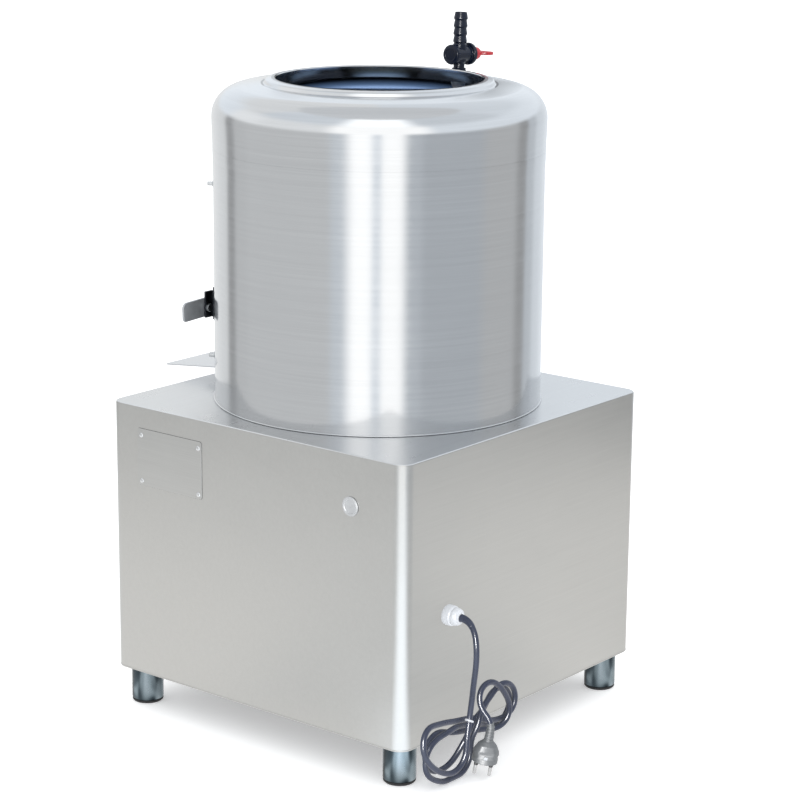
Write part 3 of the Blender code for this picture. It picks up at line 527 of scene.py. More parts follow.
def sheet_steel(name, colour, rough, along, grain=0.5, wave=0.35, cloud=0.06, aniso=0.0):
    """Brushed sheet: fine lines along one direction, faint streaks, slow waviness of the sheet and smears in the gloss.
    along is 'x', 'y', 'z' or 'round' (about the drum's axis)."""
    n = Nodes(name)
    if along == "round":
        x, y, z = n.xyz()
        angle = n.math("ARCTAN2", y, x)
        radius = n.math("SQRT", n.math("ADD", n.math("MULTIPLY", x, x), n.math("MULTIPLY", y, y)))
        base = n.join(n.math("MULTIPLY", angle, 0.20), radius, z)
        fine = n.mapping((6, 2600, 2600), base)
        streak = n.mapping((1.5, 210, 210), base)
    else:
        k = "xyz".index(along)
        s = [2600.0] * 3
        s[k] = 14.0
        fine = n.mapping(tuple(s))
        s = [230.0] * 3
        s[k] = 2.2
        streak = n.mapping(tuple(s))
    lines = n.noise(1.0, fine, 2.0, 0.6)
    streaks = n.noise(1.0, streak, 3.0, 0.6)
    slow = n.noise(5.0, None, 2.0, 0.5)
    smear = n.noise(17.0, None, 5.0, 0.62, 0.6)
    tone = n.math("ADD", n.math("MULTIPLY", n.math("SUBTRACT", streaks, 0.5), 0.10), n.math("MULTIPLY", n.math("SUBTRACT", lines, 0.5), 0.16))
    tone = n.math("ADD", tone, n.math("MULTIPLY", n.math("SUBTRACT", smear, 0.5), cloud))
    gain = n.math("ADD", tone, 1.0)
    grey = n.new("CombineColor")
    for i in range(3):
        n.wire(gain, grey.inputs[i])
    col = n.mix(1.0, grey.outputs[0], colour, "MULTIPLY")
    r = n.math("ADD", n.math("MULTIPLY", n.math("SUBTRACT", smear, 0.5), 0.16), n.math("MULTIPLY", n.math("SUBTRACT", streaks, 0.5), 0.12))
    r = n.math("ADD", r, rough, clamp=True)
    low = n.bump(slow, wave, 0.004)
    nor = n.bump(lines, grain, 0.00002, low)
    n.put(color=col, metal=1.0, rough=r, normal=nor, aniso=aniso)
    return n.mat


def plain_metal(name, colour, rough, scale=60.0, stain=0.10, metal=1.0, bump=0.15):
    """Turned, plated or cast metal with a fine uneven surface."""
    n = Nodes(name)
    a = n.noise(scale, None, 5.0, 0.6)
    b = n.noise(scale * 9, None, 3.0, 0.6)
    col = n.mix(n.range(a, 0.3, 0.7, 0.0, 1.0), tuple(c * (1 - stain) for c in colour), tuple(min(1, c * (1 + stain)) for c in colour))
    r = n.range(a, 0.25, 0.75, rough - 0.06, rough + 0.08)
    n.put(color=col, metal=metal, rough=r, normal=n.bump(b, bump, 0.0002))
    return n.mat


def moulded(name, colour, rough, bump=0.12, grain=900.0, coat=0.0, stain=0.08, spec=0.5):
    """Moulded plastic or rubber: very fine texture, slightly uneven gloss."""
    n = Nodes(name)
    a = n.noise(45.0, None, 4.0, 0.6)
    b = n.noise(grain, None, 2.0, 0.5)
    col = n.mix(n.range(a, 0.3, 0.7, 0.0, 1.0), tuple(c * (1 - stain) for c in colour), tuple(min(1, c * (1 + stain)) for c in colour))
    r = n.range(a, 0.25, 0.75, rough - 0.05, rough + 0.06)
    n.put(color=col, metal=0.0, rough=r, normal=n.bump(b, bump, 0.0003), coat=coat, coat_rough=0.12, spec=spec)
    return n.mat


def grit_material(name, colour, scale):
    """Coarse grit bonded in dark resin."""
    n = Nodes(name)
    cells = n.voronoi(scale)
    small = n.voronoi(scale * 2.3)
    spots = n.noise(scale * 0.7, None, 4.0, 0.7)
    height = n.math("SUBTRACT", 1.0, n.math("ADD", n.math("MULTIPLY", cells, 0.9), n.math("MULTIPLY", small, 0.4)))
    col = n.mix(n.range(height, 0.2, 0.85, 0.0, 1.0), tuple(c * 0.45 for c in colour), tuple(min(1, c * 1.9) for c in colour))
    col = n.mix(n.range(spots, 0.62, 0.74, 0.0, 0.5), col, (0.20, 0.19, 0.18))
    r = n.range(height, 0.2, 0.9, 0.85, 0.42)
    n.put(color=col, metal=0.0, rough=r, normal=n.bump(height, 0.9, 0.0012))
    return n.mat


def chrome_leg_material():
    """Bright tube whose blotched near-black, dark-blue and slate colour is painted reflection of dark and light
    surroundings, stretched along the tube.
    """
    n = Nodes("leg_tube_painted_reflection")
    stretched = n.mapping((26, 26, 9))
    a = n.noise(1.0, stretched, 2.0, 0.45, 1.1)
    b = n.noise(160.0, None, 4.0, 0.6)
    # painted reflection: the ramp lays near-black, slate and light patches where the tube would mirror dark and light
    # surroundings
    col = n.ramp(a, [(0.37, (0.015, 0.022, 0.028)), (0.44, (0.085, 0.112, 0.130)), (0.51, (0.25, 0.31, 0.345)), (0.62, (0.43, 0.50, 0.55))])
    r = n.range(b, 0.3, 0.7, 0.20, 0.30)
    n.put(color=col, metal=1.0, rough=r)
    return n.mat


M = {}
M["cab"] = sheet_steel("cabinet_sheet", (0.570, 0.567, 0.553), 0.34, "x", grain=0.5, wave=0.30)
# painted light: the top is the same sheet as the sides, given a lighter, cooler colour because it faces the light above
M["cab_top"] = sheet_steel("cabinet_top_sheet_painted_light", (0.715, 0.725, 0.735), 0.30, "x", grain=0.4, wave=0.20)
M["chute"] = sheet_steel("chute_sheet", (0.74, 0.755, 0.78), 0.34, "y", wave=0.2)
M["drum"] = sheet_steel("drum_sheet", (0.66, 0.67, 0.685), 0.145, "round", grain=0.25, wave=0.10, cloud=0.03, aniso=0.0)
M["dome"] = sheet_steel("dome_sheet", (0.66, 0.67, 0.685), 0.145, "round", grain=0.25, wave=0.10, cloud=0.03, aniso=0.0)
M["door"] = sheet_steel("door_sheet", (0.64, 0.65, 0.66), 0.24, "z", grain=0.3, wave=0.03, cloud=0.03)
M["pan"] = sheet_steel("pan_sheet", (0.55, 0.55, 0.55), 0.35, "round", wave=0.2)
M["plate"] = sheet_steel("plate_sheet", (0.565, 0.565, 0.555), 0.33, "y", wave=0.1)
M["rivet"] = plain_metal("rivet_metal", (0.74, 0.75, 0.76), 0.25, 200)
M["leg"] = chrome_leg_material()
M["zinc"] = plain_metal("zinc_metal", (0.46, 0.48, 0.49), 0.34, 120, 0.15)
M["lever"] = plain_metal("lever_metal", (0.50, 0.515, 0.535), 0.42, 90, 0.10, 0.45)
# painted shade: the latch bracket's near-black colour stands for the shade it sits in beside the drum
M["bracket"] = plain_metal("bracket_metal_painted_shade", (0.055, 0.06, 0.07), 0.38, 110, 0.25)
M["paint"] = moulded("frame_paint_coat", (0.10, 0.105, 0.11), 0.42, 0.3, 260)
M["motor"] = moulded("motor_paint_coat", (0.045, 0.10, 0.19), 0.36, 0.35, 200)
M["iron"] = plain_metal("cast_iron_skin", (0.10, 0.10, 0.105), 0.52, 70, 0.25, 0.7, 0.5)
M["bright"] = plain_metal("ground_steel", (0.62, 0.62, 0.63), 0.20, 150)
# the lining's grit colour is partly its own tone and partly painted light: lighter and bluer than the disc's grit, it
# stands in for bluish light falling in through the mouth
M["grit"] = grit_material("drum_grit_painted_bluish_light", (0.150, 0.180, 0.235), 420)
M["disc"] = grit_material("disc_grit_coat", (0.060, 0.056, 0.053), 300)
M["rubber"] = moulded("black_rubber_skin", (0.018, 0.018, 0.020), 0.62, 0.3, 700)
M["plug"] = moulded("plug_rubber", (0.165, 0.175, 0.185), 0.50, 0.3, 900)
M["navy"] = moulded("navy_moulding", (0.0030, 0.0075, 0.0230), 0.21, 0.08, 500, spec=0.30)
M["red"] = moulded("red_moulding", (0.52, 0.030, 0.040), 0.30, 0.08, 600, spec=0.35)
M["green"] = moulded("green_moulding", (0.020, 0.28, 0.075), 0.30, 0.08, 600, coat=0.2)
M["white"] = moulded("white_moulding", (0.80, 0.82, 0.86), 0.38, 0.1, 700, stain=0.03, spec=0.3)
M["cord"] = moulded("lead_sheath", (0.034, 0.043, 0.080), 0.27, 0.15, 1200, spec=0.5)
M["panel"] = moulded("panel_moulding", (0.035, 0.035, 0.038), 0.45, 0.5, 500)
M["grey"] = moulded("grey_moulding", (0.46, 0.47, 0.48), 0.42, 0.15, 700)


# ================================================================ lead, hank, tie and plug
def settle(way, d, bend, low, high, rounds=900, step=0.0025, hold=10):
    """Lets a wound lead push itself apart and straighten where it is bent too hard,
    staying near its way points and between two upright planes."""
    x = even(b_spline(way, 4000), step)
    want = x.copy()
    n = len(x)
    i = np.arange(n)
    apart = np.abs(i[:, None] - i[None]) * step > 2.9 * d
    limit = 1 / bend
    near = None
    for it in range(rounds):
        pull = 0.012 if it < rounds * 0.4 else 0.001
        x[:, 0::2] += pull * (want - x)[:, 0::2]
        x[:, 1] += pull / 3 * (want - x)[:, 1]
        if it % 8 == 0:
            sq = (x ** 2).sum(1)
            far = sq[:, None] + sq[None] - 2 * x @ x.T
            near = np.nonzero(apart & (far < (d * 1.5) ** 2))
        a, b = near
        gap = x[a] - x[b]
        dist = np.sqrt((gap ** 2).sum(1)) + 1e-9
        deep = np.maximum(d * 1.01 - dist, 0)
        v = gap * (deep / dist * 0.5)[:, None]
        many = np.maximum(1, np.bincount(a, weights=(deep > 0), minlength=n))
        for c in range(3):
            x[:, c] += np.bincount(a, weights=v[:, c], minlength=n) / many
        for k in (8, 5, 3):
            lap = x[:-2 * k] + x[2 * k:] - 2 * x[k:-k]
            size = np.linalg.norm(lap, axis=1) + 1e-12
            curve = size / (k * step) ** 2
            over = np.clip(1 - limit / curve, 0, 1)[:, None]
            m = lap * over * 0.5
            x[k:-k] += m
            x[:-2 * k] -= m * 0.5
            x[2 * k:] -= m * 0.5
        for w in (0.25, -0.255):
            x[1:-1] = x[1:-1] + w * (x[:-2] + x[2:] - 2 * x[1:-1])
        x[:, 1] = np.clip(x[:, 1], np.where(x[:, 2] < 0.118, low, -1), np.where((x[:, 2] < 0.105) & (i < n - 26), high, 9))
        x[:, 2] = np.maximum(x[:, 2], d / 2 + 0.0012)
        x[:hold] = want[:hold]
        x[-5:] = want[-5:]
    return x


# the lead's way: out of the gland, down, then three figure-of-eight turns through the tie
LEAD_WAY = [
    (0.1650, 0.2725, 0.2120), (0.1650, 0.2805, 0.2120), (0.1692, 0.2950, 0.2072), (0.1771, 0.3060, 0.1872),
    (0.1724, 0.3026, 0.1584), (0.1655, 0.2935, 0.1304), (0.1590, 0.2870, 0.1083), (0.1580, 0.2838, 0.0914),
    (0.1591, 0.2830, 0.0784),
    # first left loop
    (0.1632, 0.2842, 0.0650), (0.1663, 0.2846, 0.0510), (0.1678, 0.2846, 0.0374), (0.1716, 0.2842, 0.0253),
    (0.1822, 0.2836, 0.0186), (0.1971, 0.2830, 0.0185), (0.2127, 0.2824, 0.0238), (0.2279, 0.2820, 0.0341),
    (0.2390, 0.2818, 0.0459), (0.2458, 0.2810, 0.0575), (0.2489, 0.2798, 0.0678), (0.2472, 0.2780, 0.0770),
    (0.2387, 0.2755, 0.0833), (0.2224, 0.2725, 0.0850), (0.2030, 0.2700, 0.0827), (0.1841, 0.2685, 0.0792),
    (0.1638, 0.2673, 0.0744), (0.1408, 0.2675, 0.0685),
    # first right loop
    (0.1202, 0.2675, 0.0617), (0.0971, 0.2680, 0.0548), (0.0773, 0.2700, 0.0520), (0.0626, 0.2725, 0.0550),
    (0.0536, 0.2740, 0.0637), (0.0516, 0.2750, 0.0759), (0.0567, 0.2757, 0.0890), (0.0680, 0.2760, 0.0995),
    (0.0821, 0.2758, 0.1035), (0.0951, 0.2756, 0.0991), (0.1079, 0.2754, 0.0905), (0.1206, 0.2752, 0.0819),
    (0.1336, 0.2752, 0.0735),
    # second left loop
    (0.1406, 0.2752, 0.0633), (0.1429, 0.2752, 0.0508), (0.1440, 0.2750, 0.0379), (0.1456, 0.2748, 0.0251),
    (0.1500, 0.2745, 0.0131), (0.1596, 0.2742, 0.0046), (0.1766, 0.2740, 0.0015), (0.1964, 0.2738, 0.0045),
    (0.2154, 0.2736, 0.0125), (0.2294, 0.2734, 0.0234), (0.2356, 0.2732, 0.0356), (0.2342, 0.2730, 0.0462),
    (0.2292, 0.2728, 0.0553), (0.2202, 0.2722, 0.0620), (0.2034, 0.2705, 0.0667), (0.1814, 0.2688, 0.0674),
    (0.1611, 0.2675, 0.0671), (0.1392, 0.2675, 0.0624),
    # second right loop
    (0.1201, 0.2675, 0.0571), (0.0964, 0.2676, 0.0500), (0.0774, 0.2685, 0.0468), (0.0630, 0.2695, 0.0500),
    (0.0546, 0.2698, 0.0591), (0.0529, 0.2694, 0.0710), (0.0578, 0.2688, 0.0833), (0.0680, 0.2683, 0.0929),
    (0.0805, 0.2681, 0.0955), (0.0923, 0.2681, 0.0917), (0.1014, 0.2684, 0.0850), (0.1110, 0.2700, 0.0785),
    (0.1235, 0.2730, 0.0742), (0.1350, 0.2752, 0.0690),
    # third left loop
    (0.1445, 0.2752, 0.0618), (0.1515, 0.2735, 0.0530), (0.1563, 0.2720, 0.0456), (0.1610, 0.2708, 0.0373),
    (0.1682, 0.2698, 0.0303), (0.1786, 0.2690, 0.0225), (0.1935, 0.2682, 0.0190), (0.2110, 0.2676, 0.0215),
    (0.2255, 0.2670, 0.0325), (0.2290, 0.2664, 0.0480), (0.2220, 0.2658, 0.0615), (0.2075, 0.2655, 0.0680),
    (0.1895, 0.2660, 0.0670), (0.1706, 0.2672, 0.0609), (0.1537, 0.2675, 0.0596), (0.1376, 0.2675, 0.0562),
    # third right loop, then down to the plug
    (0.1200, 0.2675, 0.0528), (0.1011, 0.2690, 0.0470), (0.0857, 0.2720, 0.0445), (0.0742, 0.2745, 0.0484),
    (0.0688, 0.2770, 0.0584), (0.0725, 0.2800, 0.0727), (0.0810, 0.2820, 0.0881), (0.0932, 0.2830, 0.1023),
    (0.1086, 0.2832, 0.1132), (0.1234, 0.2832, 0.1181), (0.1357, 0.2834, 0.1155), (0.1420, 0.2838, 0.1061),
    (0.1430, 0.2850, 0.0975), (0.1420, 0.2880, 0.0885), (0.1400, 0.2925, 0.0800),
]

PLUG_LEAN = deg(10.0)
PLUG_SIDE = Vector((-0.630, 0.777, 0.0)).normalized()
PLUG_UP = PLUG_SIDE * math.sin(PLUG_LEAN) + Vector((0, 0, 1)) * math.cos(PLUG_LEAN)
PLUG_ACROSS = PLUG_SIDE * math.cos(PLUG_LEAN) - Vector((0, 0, 1)) * math.sin(PLUG_LEAN)
PLUG_AT = Vector((0.1440, 0.2960, 0.0225))
for reach in (0.0500, 0.0430, 0.0365, 0.0332):
    LEAD_WAY.append(tuple(PLUG_AT + PLUG_UP * reach))


def lead():
    line = settle(LEAD_WAY, CORD_D, 0.0270, 0.2540 + CORD_D / 2, 0.2900 - CORD_D / 2)
    mesh = sweep("mains_lead", line, CORD_D / 2, 24)
    ob = link("mains_lead", mesh, "machine", ("power_cord", "cord_hank"), [M["cord"]])
    world = line + np.array(AXIS)
    length = float(np.linalg.norm(np.diff(world, axis=0), axis=1).sum())
    return ob, world, length


LEAD, LEAD_PATH, LEAD_LENGTH = lead()
print("lead length", round(LEAD_LENGTH, 3))


TIE_AT, TIE_TILT = (0.1520, 0.2790, 0.0735), deg(-28)


def cord_tie():
    """White twist band round the waist of the hank: follows the strands' own outline there."""
    c = np.array(TIE_AT)
    u = np.array([math.sin(TIE_TILT), 0, math.cos(TIE_TILT)])
    v = np.array([math.cos(TIE_TILT), 0, -math.sin(TIE_TILT)])
    line = LEAD_PATH - np.array(AXIS)
    rel = line - c
    run = np.gradient(line, axis=0)
    run /= np.linalg.norm(run, axis=1)[:, None]
    near = line[(np.abs(rel @ u) < 0.0030) & (np.abs(rel @ v) < 0.0125) & (np.abs(run @ u) > 0.70) & (line[:, 1] < 0.290)]
    pts = np.stack([near[:, 1] - c[1], (near - c) @ v], 1)
    mid = pts.mean(0)
    ring = []
    for k in range(48):
        a = 2 * PI * k / 48
        d = np.array([math.cos(a), math.sin(a)])
        reach = ((pts - mid) @ d).max() + CORD_D / 2 + 0.0007
        ring.append(reach)
    ring = np.array(ring)
    band = []
    for k in range(48):
        a = 2 * PI * k / 48
        band.append(mid + ring[k] * np.array([math.cos(a), math.sin(a)]))
    # the band is the outline of the support lines: intersect neighbours so that it is taut and convex
    band = []
    for k in range(48):
        a0, a1 = 2 * PI * k / 48, 2 * PI * (k + 1) / 48
        m = np.array([[math.cos(a0), math.sin(a0)], [math.cos(a1), math.sin(a1)]])
        band.append(mid + np.linalg.solve(m, np.array([ring[k], ring[(k + 1) % 48]])))
    band = np.array(band)
    verts, faces = [], []
    n = len(band)
    cross = [(-0.0011, 0.0), (-0.0014, 0.0004), (-0.0011, 0.0009), (0.0, 0.0011), (0.0011, 0.0009), (0.0014, 0.0004), (0.0011, 0.0)]
    for q in band:
        out = q - mid
        out /= np.linalg.norm(out)
        for du, dn in cross:
            w = q + out * dn
            verts.append(c + u * du + np.array([0, 1, 0]) * w[0] + v * w[1])
    m = len(cross)
    for i in range(n):
        for k in range(m):
            j, l = (i + 1) % n, (k + 1) % m
            faces.append((i * m + k, i * m + l, j * m + l, j * m + k))
    mesh = from_lists("cord_tie_band", verts, faces)
    ob = link("cord_tie_band", mesh, "machine", ("cord_tie",), [M["white"]])
    return [ob]


def place_from(z_axis, x_axis, at):
    z, x = Vector(z_axis).normalized(), Vector(x_axis).normalized()
    y = z.cross(x)
    return Matrix(((x.x, y.x, z.x, at[0]), (x.y, y.y, z.y, at[1]), (x.z, y.z, z.z, at[2]), (0, 0, 0, 1)))


def mains_plug():
    place = place_from(PLUG_UP, PLUG_ACROSS, PLUG_AT)
    # body: round face, flat cheeks, shoulders drawn in to the neck
    seg = 96
    prof = rounded_profile([(0.0, 0.0010), (0.0120, 0.0010), (0.0126, 0.0, 0.0004), (0.0165, 0.0, 0.0009), (0.0165, 0.0060, 0.0008), (0.0159, 0.0066, 0.0004),
                            (0.0159, 0.0112, 0.0004), (0.0164, 0.0118, 0.0008), (0.0160, 0.0150, 0.002), (0.0122, 0.0226, 0.004), (0.0084, 0.0262, 0.002),
                            (0.0068, 0.0274, 0.0008), (0.0, 0.0274)], False, 4)
    verts, faces = lathe_lists(prof, seg, False)
    out = []
    for x, y, z in verts:
        r = math.hypot(x, y)
        a = math.atan2(y, x)
        k = min(1.0, max(0.0, (z - 0.002) / 0.010)) * min(1.0, max(0.0, (r - 0.006) / 0.006))
        flat = 0.0125 / max(abs(math.sin(a)), 1e-6)          # two flat cheeks
        r2 = r + (min(r, flat) - r) * k
        ribs = 0.5 + 0.5 * math.cos(7 * (z - 0.006) / 0.014 * 2 * PI)
        side = max(0.0, abs(math.cos(a)) - 0.80) / 0.20
        if 0.0065 < z < 0.0200 and r > 0.009:
            r2 += 0.0005 * ribs * side
        out.append((r2 * math.cos(a), r2 * math.sin(a), z))
    body = from_lists("plug_body", out, faces)
    body.transform(place)
    b = weighted(link("plug_body", body, "machine", ("power_plug",), [M["plug"]]))
    pieces = [b]
    # ribbed strain relief round the lead where it enters
    n = 90
    zs = np.linspace(0.0262, 0.0500, n)
    t = (zs - zs[0]) / (zs[-1] - zs[0])
    rad = 0.0064 - 0.0017 * t
    rad = np.where((np.sin(t * 2 * PI * 5.5 - 1.2) < -0.25) & (t > 0.06) & (t < 0.97), rad - 0.0009, rad)
    core = np.stack([np.zeros(n), np.zeros(n), zs], 1)
    end = PLUG_LINE(zs)
    core = end
    mesh = sweep("plug_strain_relief", core, rad, 28)
    pieces.append(link("plug_strain_relief", mesh, "machine", (), [M["plug"]]))
    # earth contacts let into both cheeks
    for name, s in (("plug_earth_clip_a", 1), ("plug_earth_clip_b", -1)):
        bm = block_bm(-0.0024, 0.0024, 0.0118, 0.0146, -0.0006, 0.0105)
        if s < 0:
            bmesh.ops.rotate(bm, verts=bm.verts, cent=(0, 0, 0), matrix=Matrix.Rotation(PI, 3, "Z"))
        mesh = from_bm(name, bm)
        mesh.transform(place)
        pieces.append(bevelled(link(name, mesh, "machine", (), [M["bright"]]), 0.0005, 2))
    for name, node, s in (("pin_near", "plug_pin_near", 1), ("pin_far", "plug_pin_far", -1)):
        pin = lathe(name, [(0, -0.0190), (0.0024, -0.0190, 0.0014), (0.0024, -0.0006), (0, -0.0006)], 32, False, (0.0095 * s, 0, 0), steps=6, place=place)
        pieces.append(weighted(link(name, pin, "machine", (node,), [M["bright"]])))
        sleeve = lathe(name + "_sleeve", [(0, -0.0070), (0.0024, -0.0070), (0.00265, -0.0066, 0.0002), (0.00265, -0.0002), (0, -0.0002)], 32, False,
                       (0.0095 * s, 0, 0), place=place)
        pieces.append(weighted(link(name + "_sleeve", sleeve, "machine", (), [M["rubber"]])))
    return pieces


def PLUG_LINE(zs):
    """Centre line of the lead above the plug's face, so that the strain relief follows the lead."""
    line = (LEAD_PATH - np.array(AXIS))[::-1]
    top = np.array(PLUG_AT) + np.array(PLUG_UP) * 0.0330
    seg = np.linalg.norm(np.diff(line, axis=0), axis=1)
    run = np.concatenate([[0], seg.cumsum()]) + 0.0330 - 0.0002
    out = []
    for z in zs:
        if z < run[0]:
            out.append(line[0] - np.array(PLUG_UP) * (run[0] - z))
        else:
            out.append([np.interp(z, run, line[:, k]) for k in range(3)])
    return np.array(out)


TIE = cord_tie()
PLUG = mains_plug()


# ================================================================ cabinet, frame, legs
def cabinet():
    outer = prism_bm(rounded_box(CAB_X / 2, CAB_Y / 2, CORNER_R, 14), ZB, ZT)
    top = [e for e in outer.edges if all(v.co.z > ZT - 1e-6 for v in e.verts)]
    bmesh.ops.bevel(outer, geom=top, offset=0.0022, segments=5, profile=0.5, affect="EDGES")
    mesh = from_bm("cabinet_shell", outer)
    ob = link("cabinet_shell", mesh, None, (), [M["cab"]])
    cut(ob, prism_bm(rounded_box(CAB_X / 2 - SHEET, CAB_Y / 2 - SHEET, CORNER_R - SHEET, 14), ZB - 0.02, ZT - SHEET))
    cut(ob, rod_bm(0.2118, ZT - 0.01, ZT + 0.01, 192))
    cut(ob, rod_bm(0.0102, 0.240, 0.260, 40, (GLAND[0], 0, GLAND[1]), "Y"))
    cut(ob, rod_bm(0.0100, 0.240, 0.260, 40, (0, 0.165, 0.355), "X"))
    cut(ob, rod_bm(DRAIN_R + 0.0006, -0.262, -0.240, 64, (0, 0, ZT - 0.087), "X"))
    cut(ob, block_bm(0.130, 0.200, -0.260, -0.240, 0.305, 0.339))
    # the upward faces of the top take the lighter copy of the sheet: painted light on the top
    ob.data.materials.append(M["cab_top"])
    for f in ob.data.polygons:
        if f.normal.z > 0.55 and f.center.z > ZT - 0.004:
            f.material_index = 1
    ob.data.shade_smooth()
    creased(ob)
    weighted(ob)
    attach(ob, "machine")
    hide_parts("base_cabinet")
    # the hem along the bottom edge
    hem = sweep_loop("cabinet_hem", rounded_box(CAB_X / 2 - 0.0012, CAB_Y / 2 - 0.0012, CORNER_R - 0.0012, 14), ZB + 0.0012, 0.0016)
    link("cabinet_hem", hem, "machine", (), [M["cab"]])


def sweep_loop(name, outline, z, r, seg=12):
    """Closed bead along a plan outline."""
    pts = np.array([(x, y, z) for x, y in outline])
    n = len(pts)
    verts, faces = [], []
    for i in range(n):
        t = pts[(i + 1) % n] - pts[i - 1]
        t /= np.linalg.norm(t)
        s = np.array([t[1], -t[0], 0])
        for k in range(seg):
            a = 2 * PI * k / seg
            verts.append(pts[i] + s * math.cos(a) * r + np.array([0, 0, 1]) * math.sin(a) * r)
    for i in range(n):
        for k in range(seg):
            j, l = (i + 1) % n, (k + 1) % seg
            faces.append((i * seg + k, i * seg + l, j * seg + l, j * seg + k))
    return from_lists(name, verts, faces)


def legs():
    for name, sx, sy in (("front_left", -1, -1), ("front_right", 1, -1), ("rear_left", -1, 1), ("rear_right", 1, 1)):
        at = (sx * LEG_X, sy * LEG_Y, 0)
        tube = [(LEG_R - 0.0004, 0.0045, 0.0008), (LEG_R, 0.0062, 0.0012), (LEG_R, ZB - 0.0032), (LEG_R, ZB), (LEG_R - 0.0027, ZB), (LEG_R - 0.0027, 0.0045)]
        mesh = lathe("tube_" + name, tube, 96, True, (0, 0, 0))
        ob = link("tube_" + name, mesh, "machine", ("leg_" + name,), [M["leg"]], AXIS + Vector(at))
        weighted(ob)
        # fillet weld where the tube meets the underside
        bead = []
        for i in range(13):
            a = 2 * PI * i / 12
            bead.append((LEG_R + 0.0008 + 0.0014 * math.cos(a), ZB - 0.0010 + 0.0012 * math.sin(a)))
        verts, faces = lathe_lists(bead[:-1], 120, True)
        out = []
        for x, y, z in verts:
            a = math.atan2(y, x)
            k = 1 + 0.010 * math.sin(41 * a) + 0.006 * math.sin(67 * a + 1)
            out.append((x * k, y * k, z if z < ZB - 0.0002 else ZB - 0.0002))
        mesh = from_lists("weld_" + name, out, faces)
        mesh.transform(Matrix.Translation(Vector(at)))
        link("weld_" + name, mesh, "machine", (), [M["zinc"]])
        cap = [(0, 0.0008), (0.0120, 0.0008), (0.0130, 0, 0.0006), (0.0190, 0, 0.0010), (0.0209, 0.0020, 0.0010), (0.0209, 0.0042, 0.0005), (0.0182, 0.0042), (0.0182, 0.016, 0.001), (0, 0.016)]
        mesh = lathe("foot_" + name, cap, 72, False, at)
        weighted(link("foot_" + name, mesh, "machine", ("foot_cap_" + name,), [M["rubber"]]))


def side_fittings():
    face = CAB_X / 2
    x0 = face + GAP
    outline = rounded_box(0.0575, 0.0385, 0.0035, 6, -0.1425, 0.3535)
    bm = prism_bm(outline, 0, 0.0006)
    mesh = from_bm("side_plate", bm)
    mesh.transform(Matrix(((0, 0, 1, x0), (1, 0, 0, 0), (0, 1, 0, 0), (0, 0, 0, 1))))
    ob = link("side_plate", mesh, "machine", ("rating_plate",), [M["plate"]])
    bevelled(ob, 0.00025, 2)
    # painted shadow: a thin black sheet behind the plate, a little larger than it, draws the dark shadow gap that shows
    # all round the plate
    line = rounded_box(0.0577, 0.0387, 0.0037, 6, -0.1425, 0.3535)
    shadow_sheet = from_bm("plate_painted_shadow_line", prism_bm(line, 0, 0.0003))
    shadow_sheet.transform(Matrix(((0, 0, 1, face), (1, 0, 0, 0), (0, 1, 0, 0), (0, 0, 0, 1))))
    link("plate_painted_shadow_line", shadow_sheet, "machine", (), [M["rubber"]])
    rivets = [(y, ZB + z) for y in (-0.193, -0.091) for z in (0.269, 0.331)]
    for i, (y, z) in enumerate(rivets):
        x = x0 + 0.0006
        dome = [(0.0, x - 0.0004), (0.0034, x - 0.0004), (0.0034, x + 0.0002, 0.0002)]
        for k in range(1, 8):
            a = PI / 2 * k / 7
            dome.append((0.0032 * math.cos(a), x + 0.0003 + 0.0013 * math.sin(a)))
        dome[-1] = (0.0, x + 0.0016)
        mesh = lathe("rivet_%d" % (i + 1), dome, 40, False, (0, y, z), "X")
        weighted(link("rivet_%d" % (i + 1), mesh, "machine", ("plate_rivet_%d" % (i + 1),), [M["rivet"]]))
    x = x0
    plug = [(0, x - 0.003), (0.0094, x - 0.003), (0.0094, x), (0.0126, x, 0.0002), (0.0124, x + 0.0009, 0.0004), (0.0106, x + 0.0018, 0.0006), (0.0094, x + 0.0018, 0.0004),
            (0.0086, x + 0.0010, 0.0004), (0.0020, x + 0.0010), (0.0014, x + 0.0006), (0, x + 0.0006)]
    mesh = lathe("blanking_plug", plug, 72, False, (0, 0.165, 0.355), "X")
    weighted(link("blanking_plug", mesh, "machine", ("hole_plug",), [M["grey"]]))


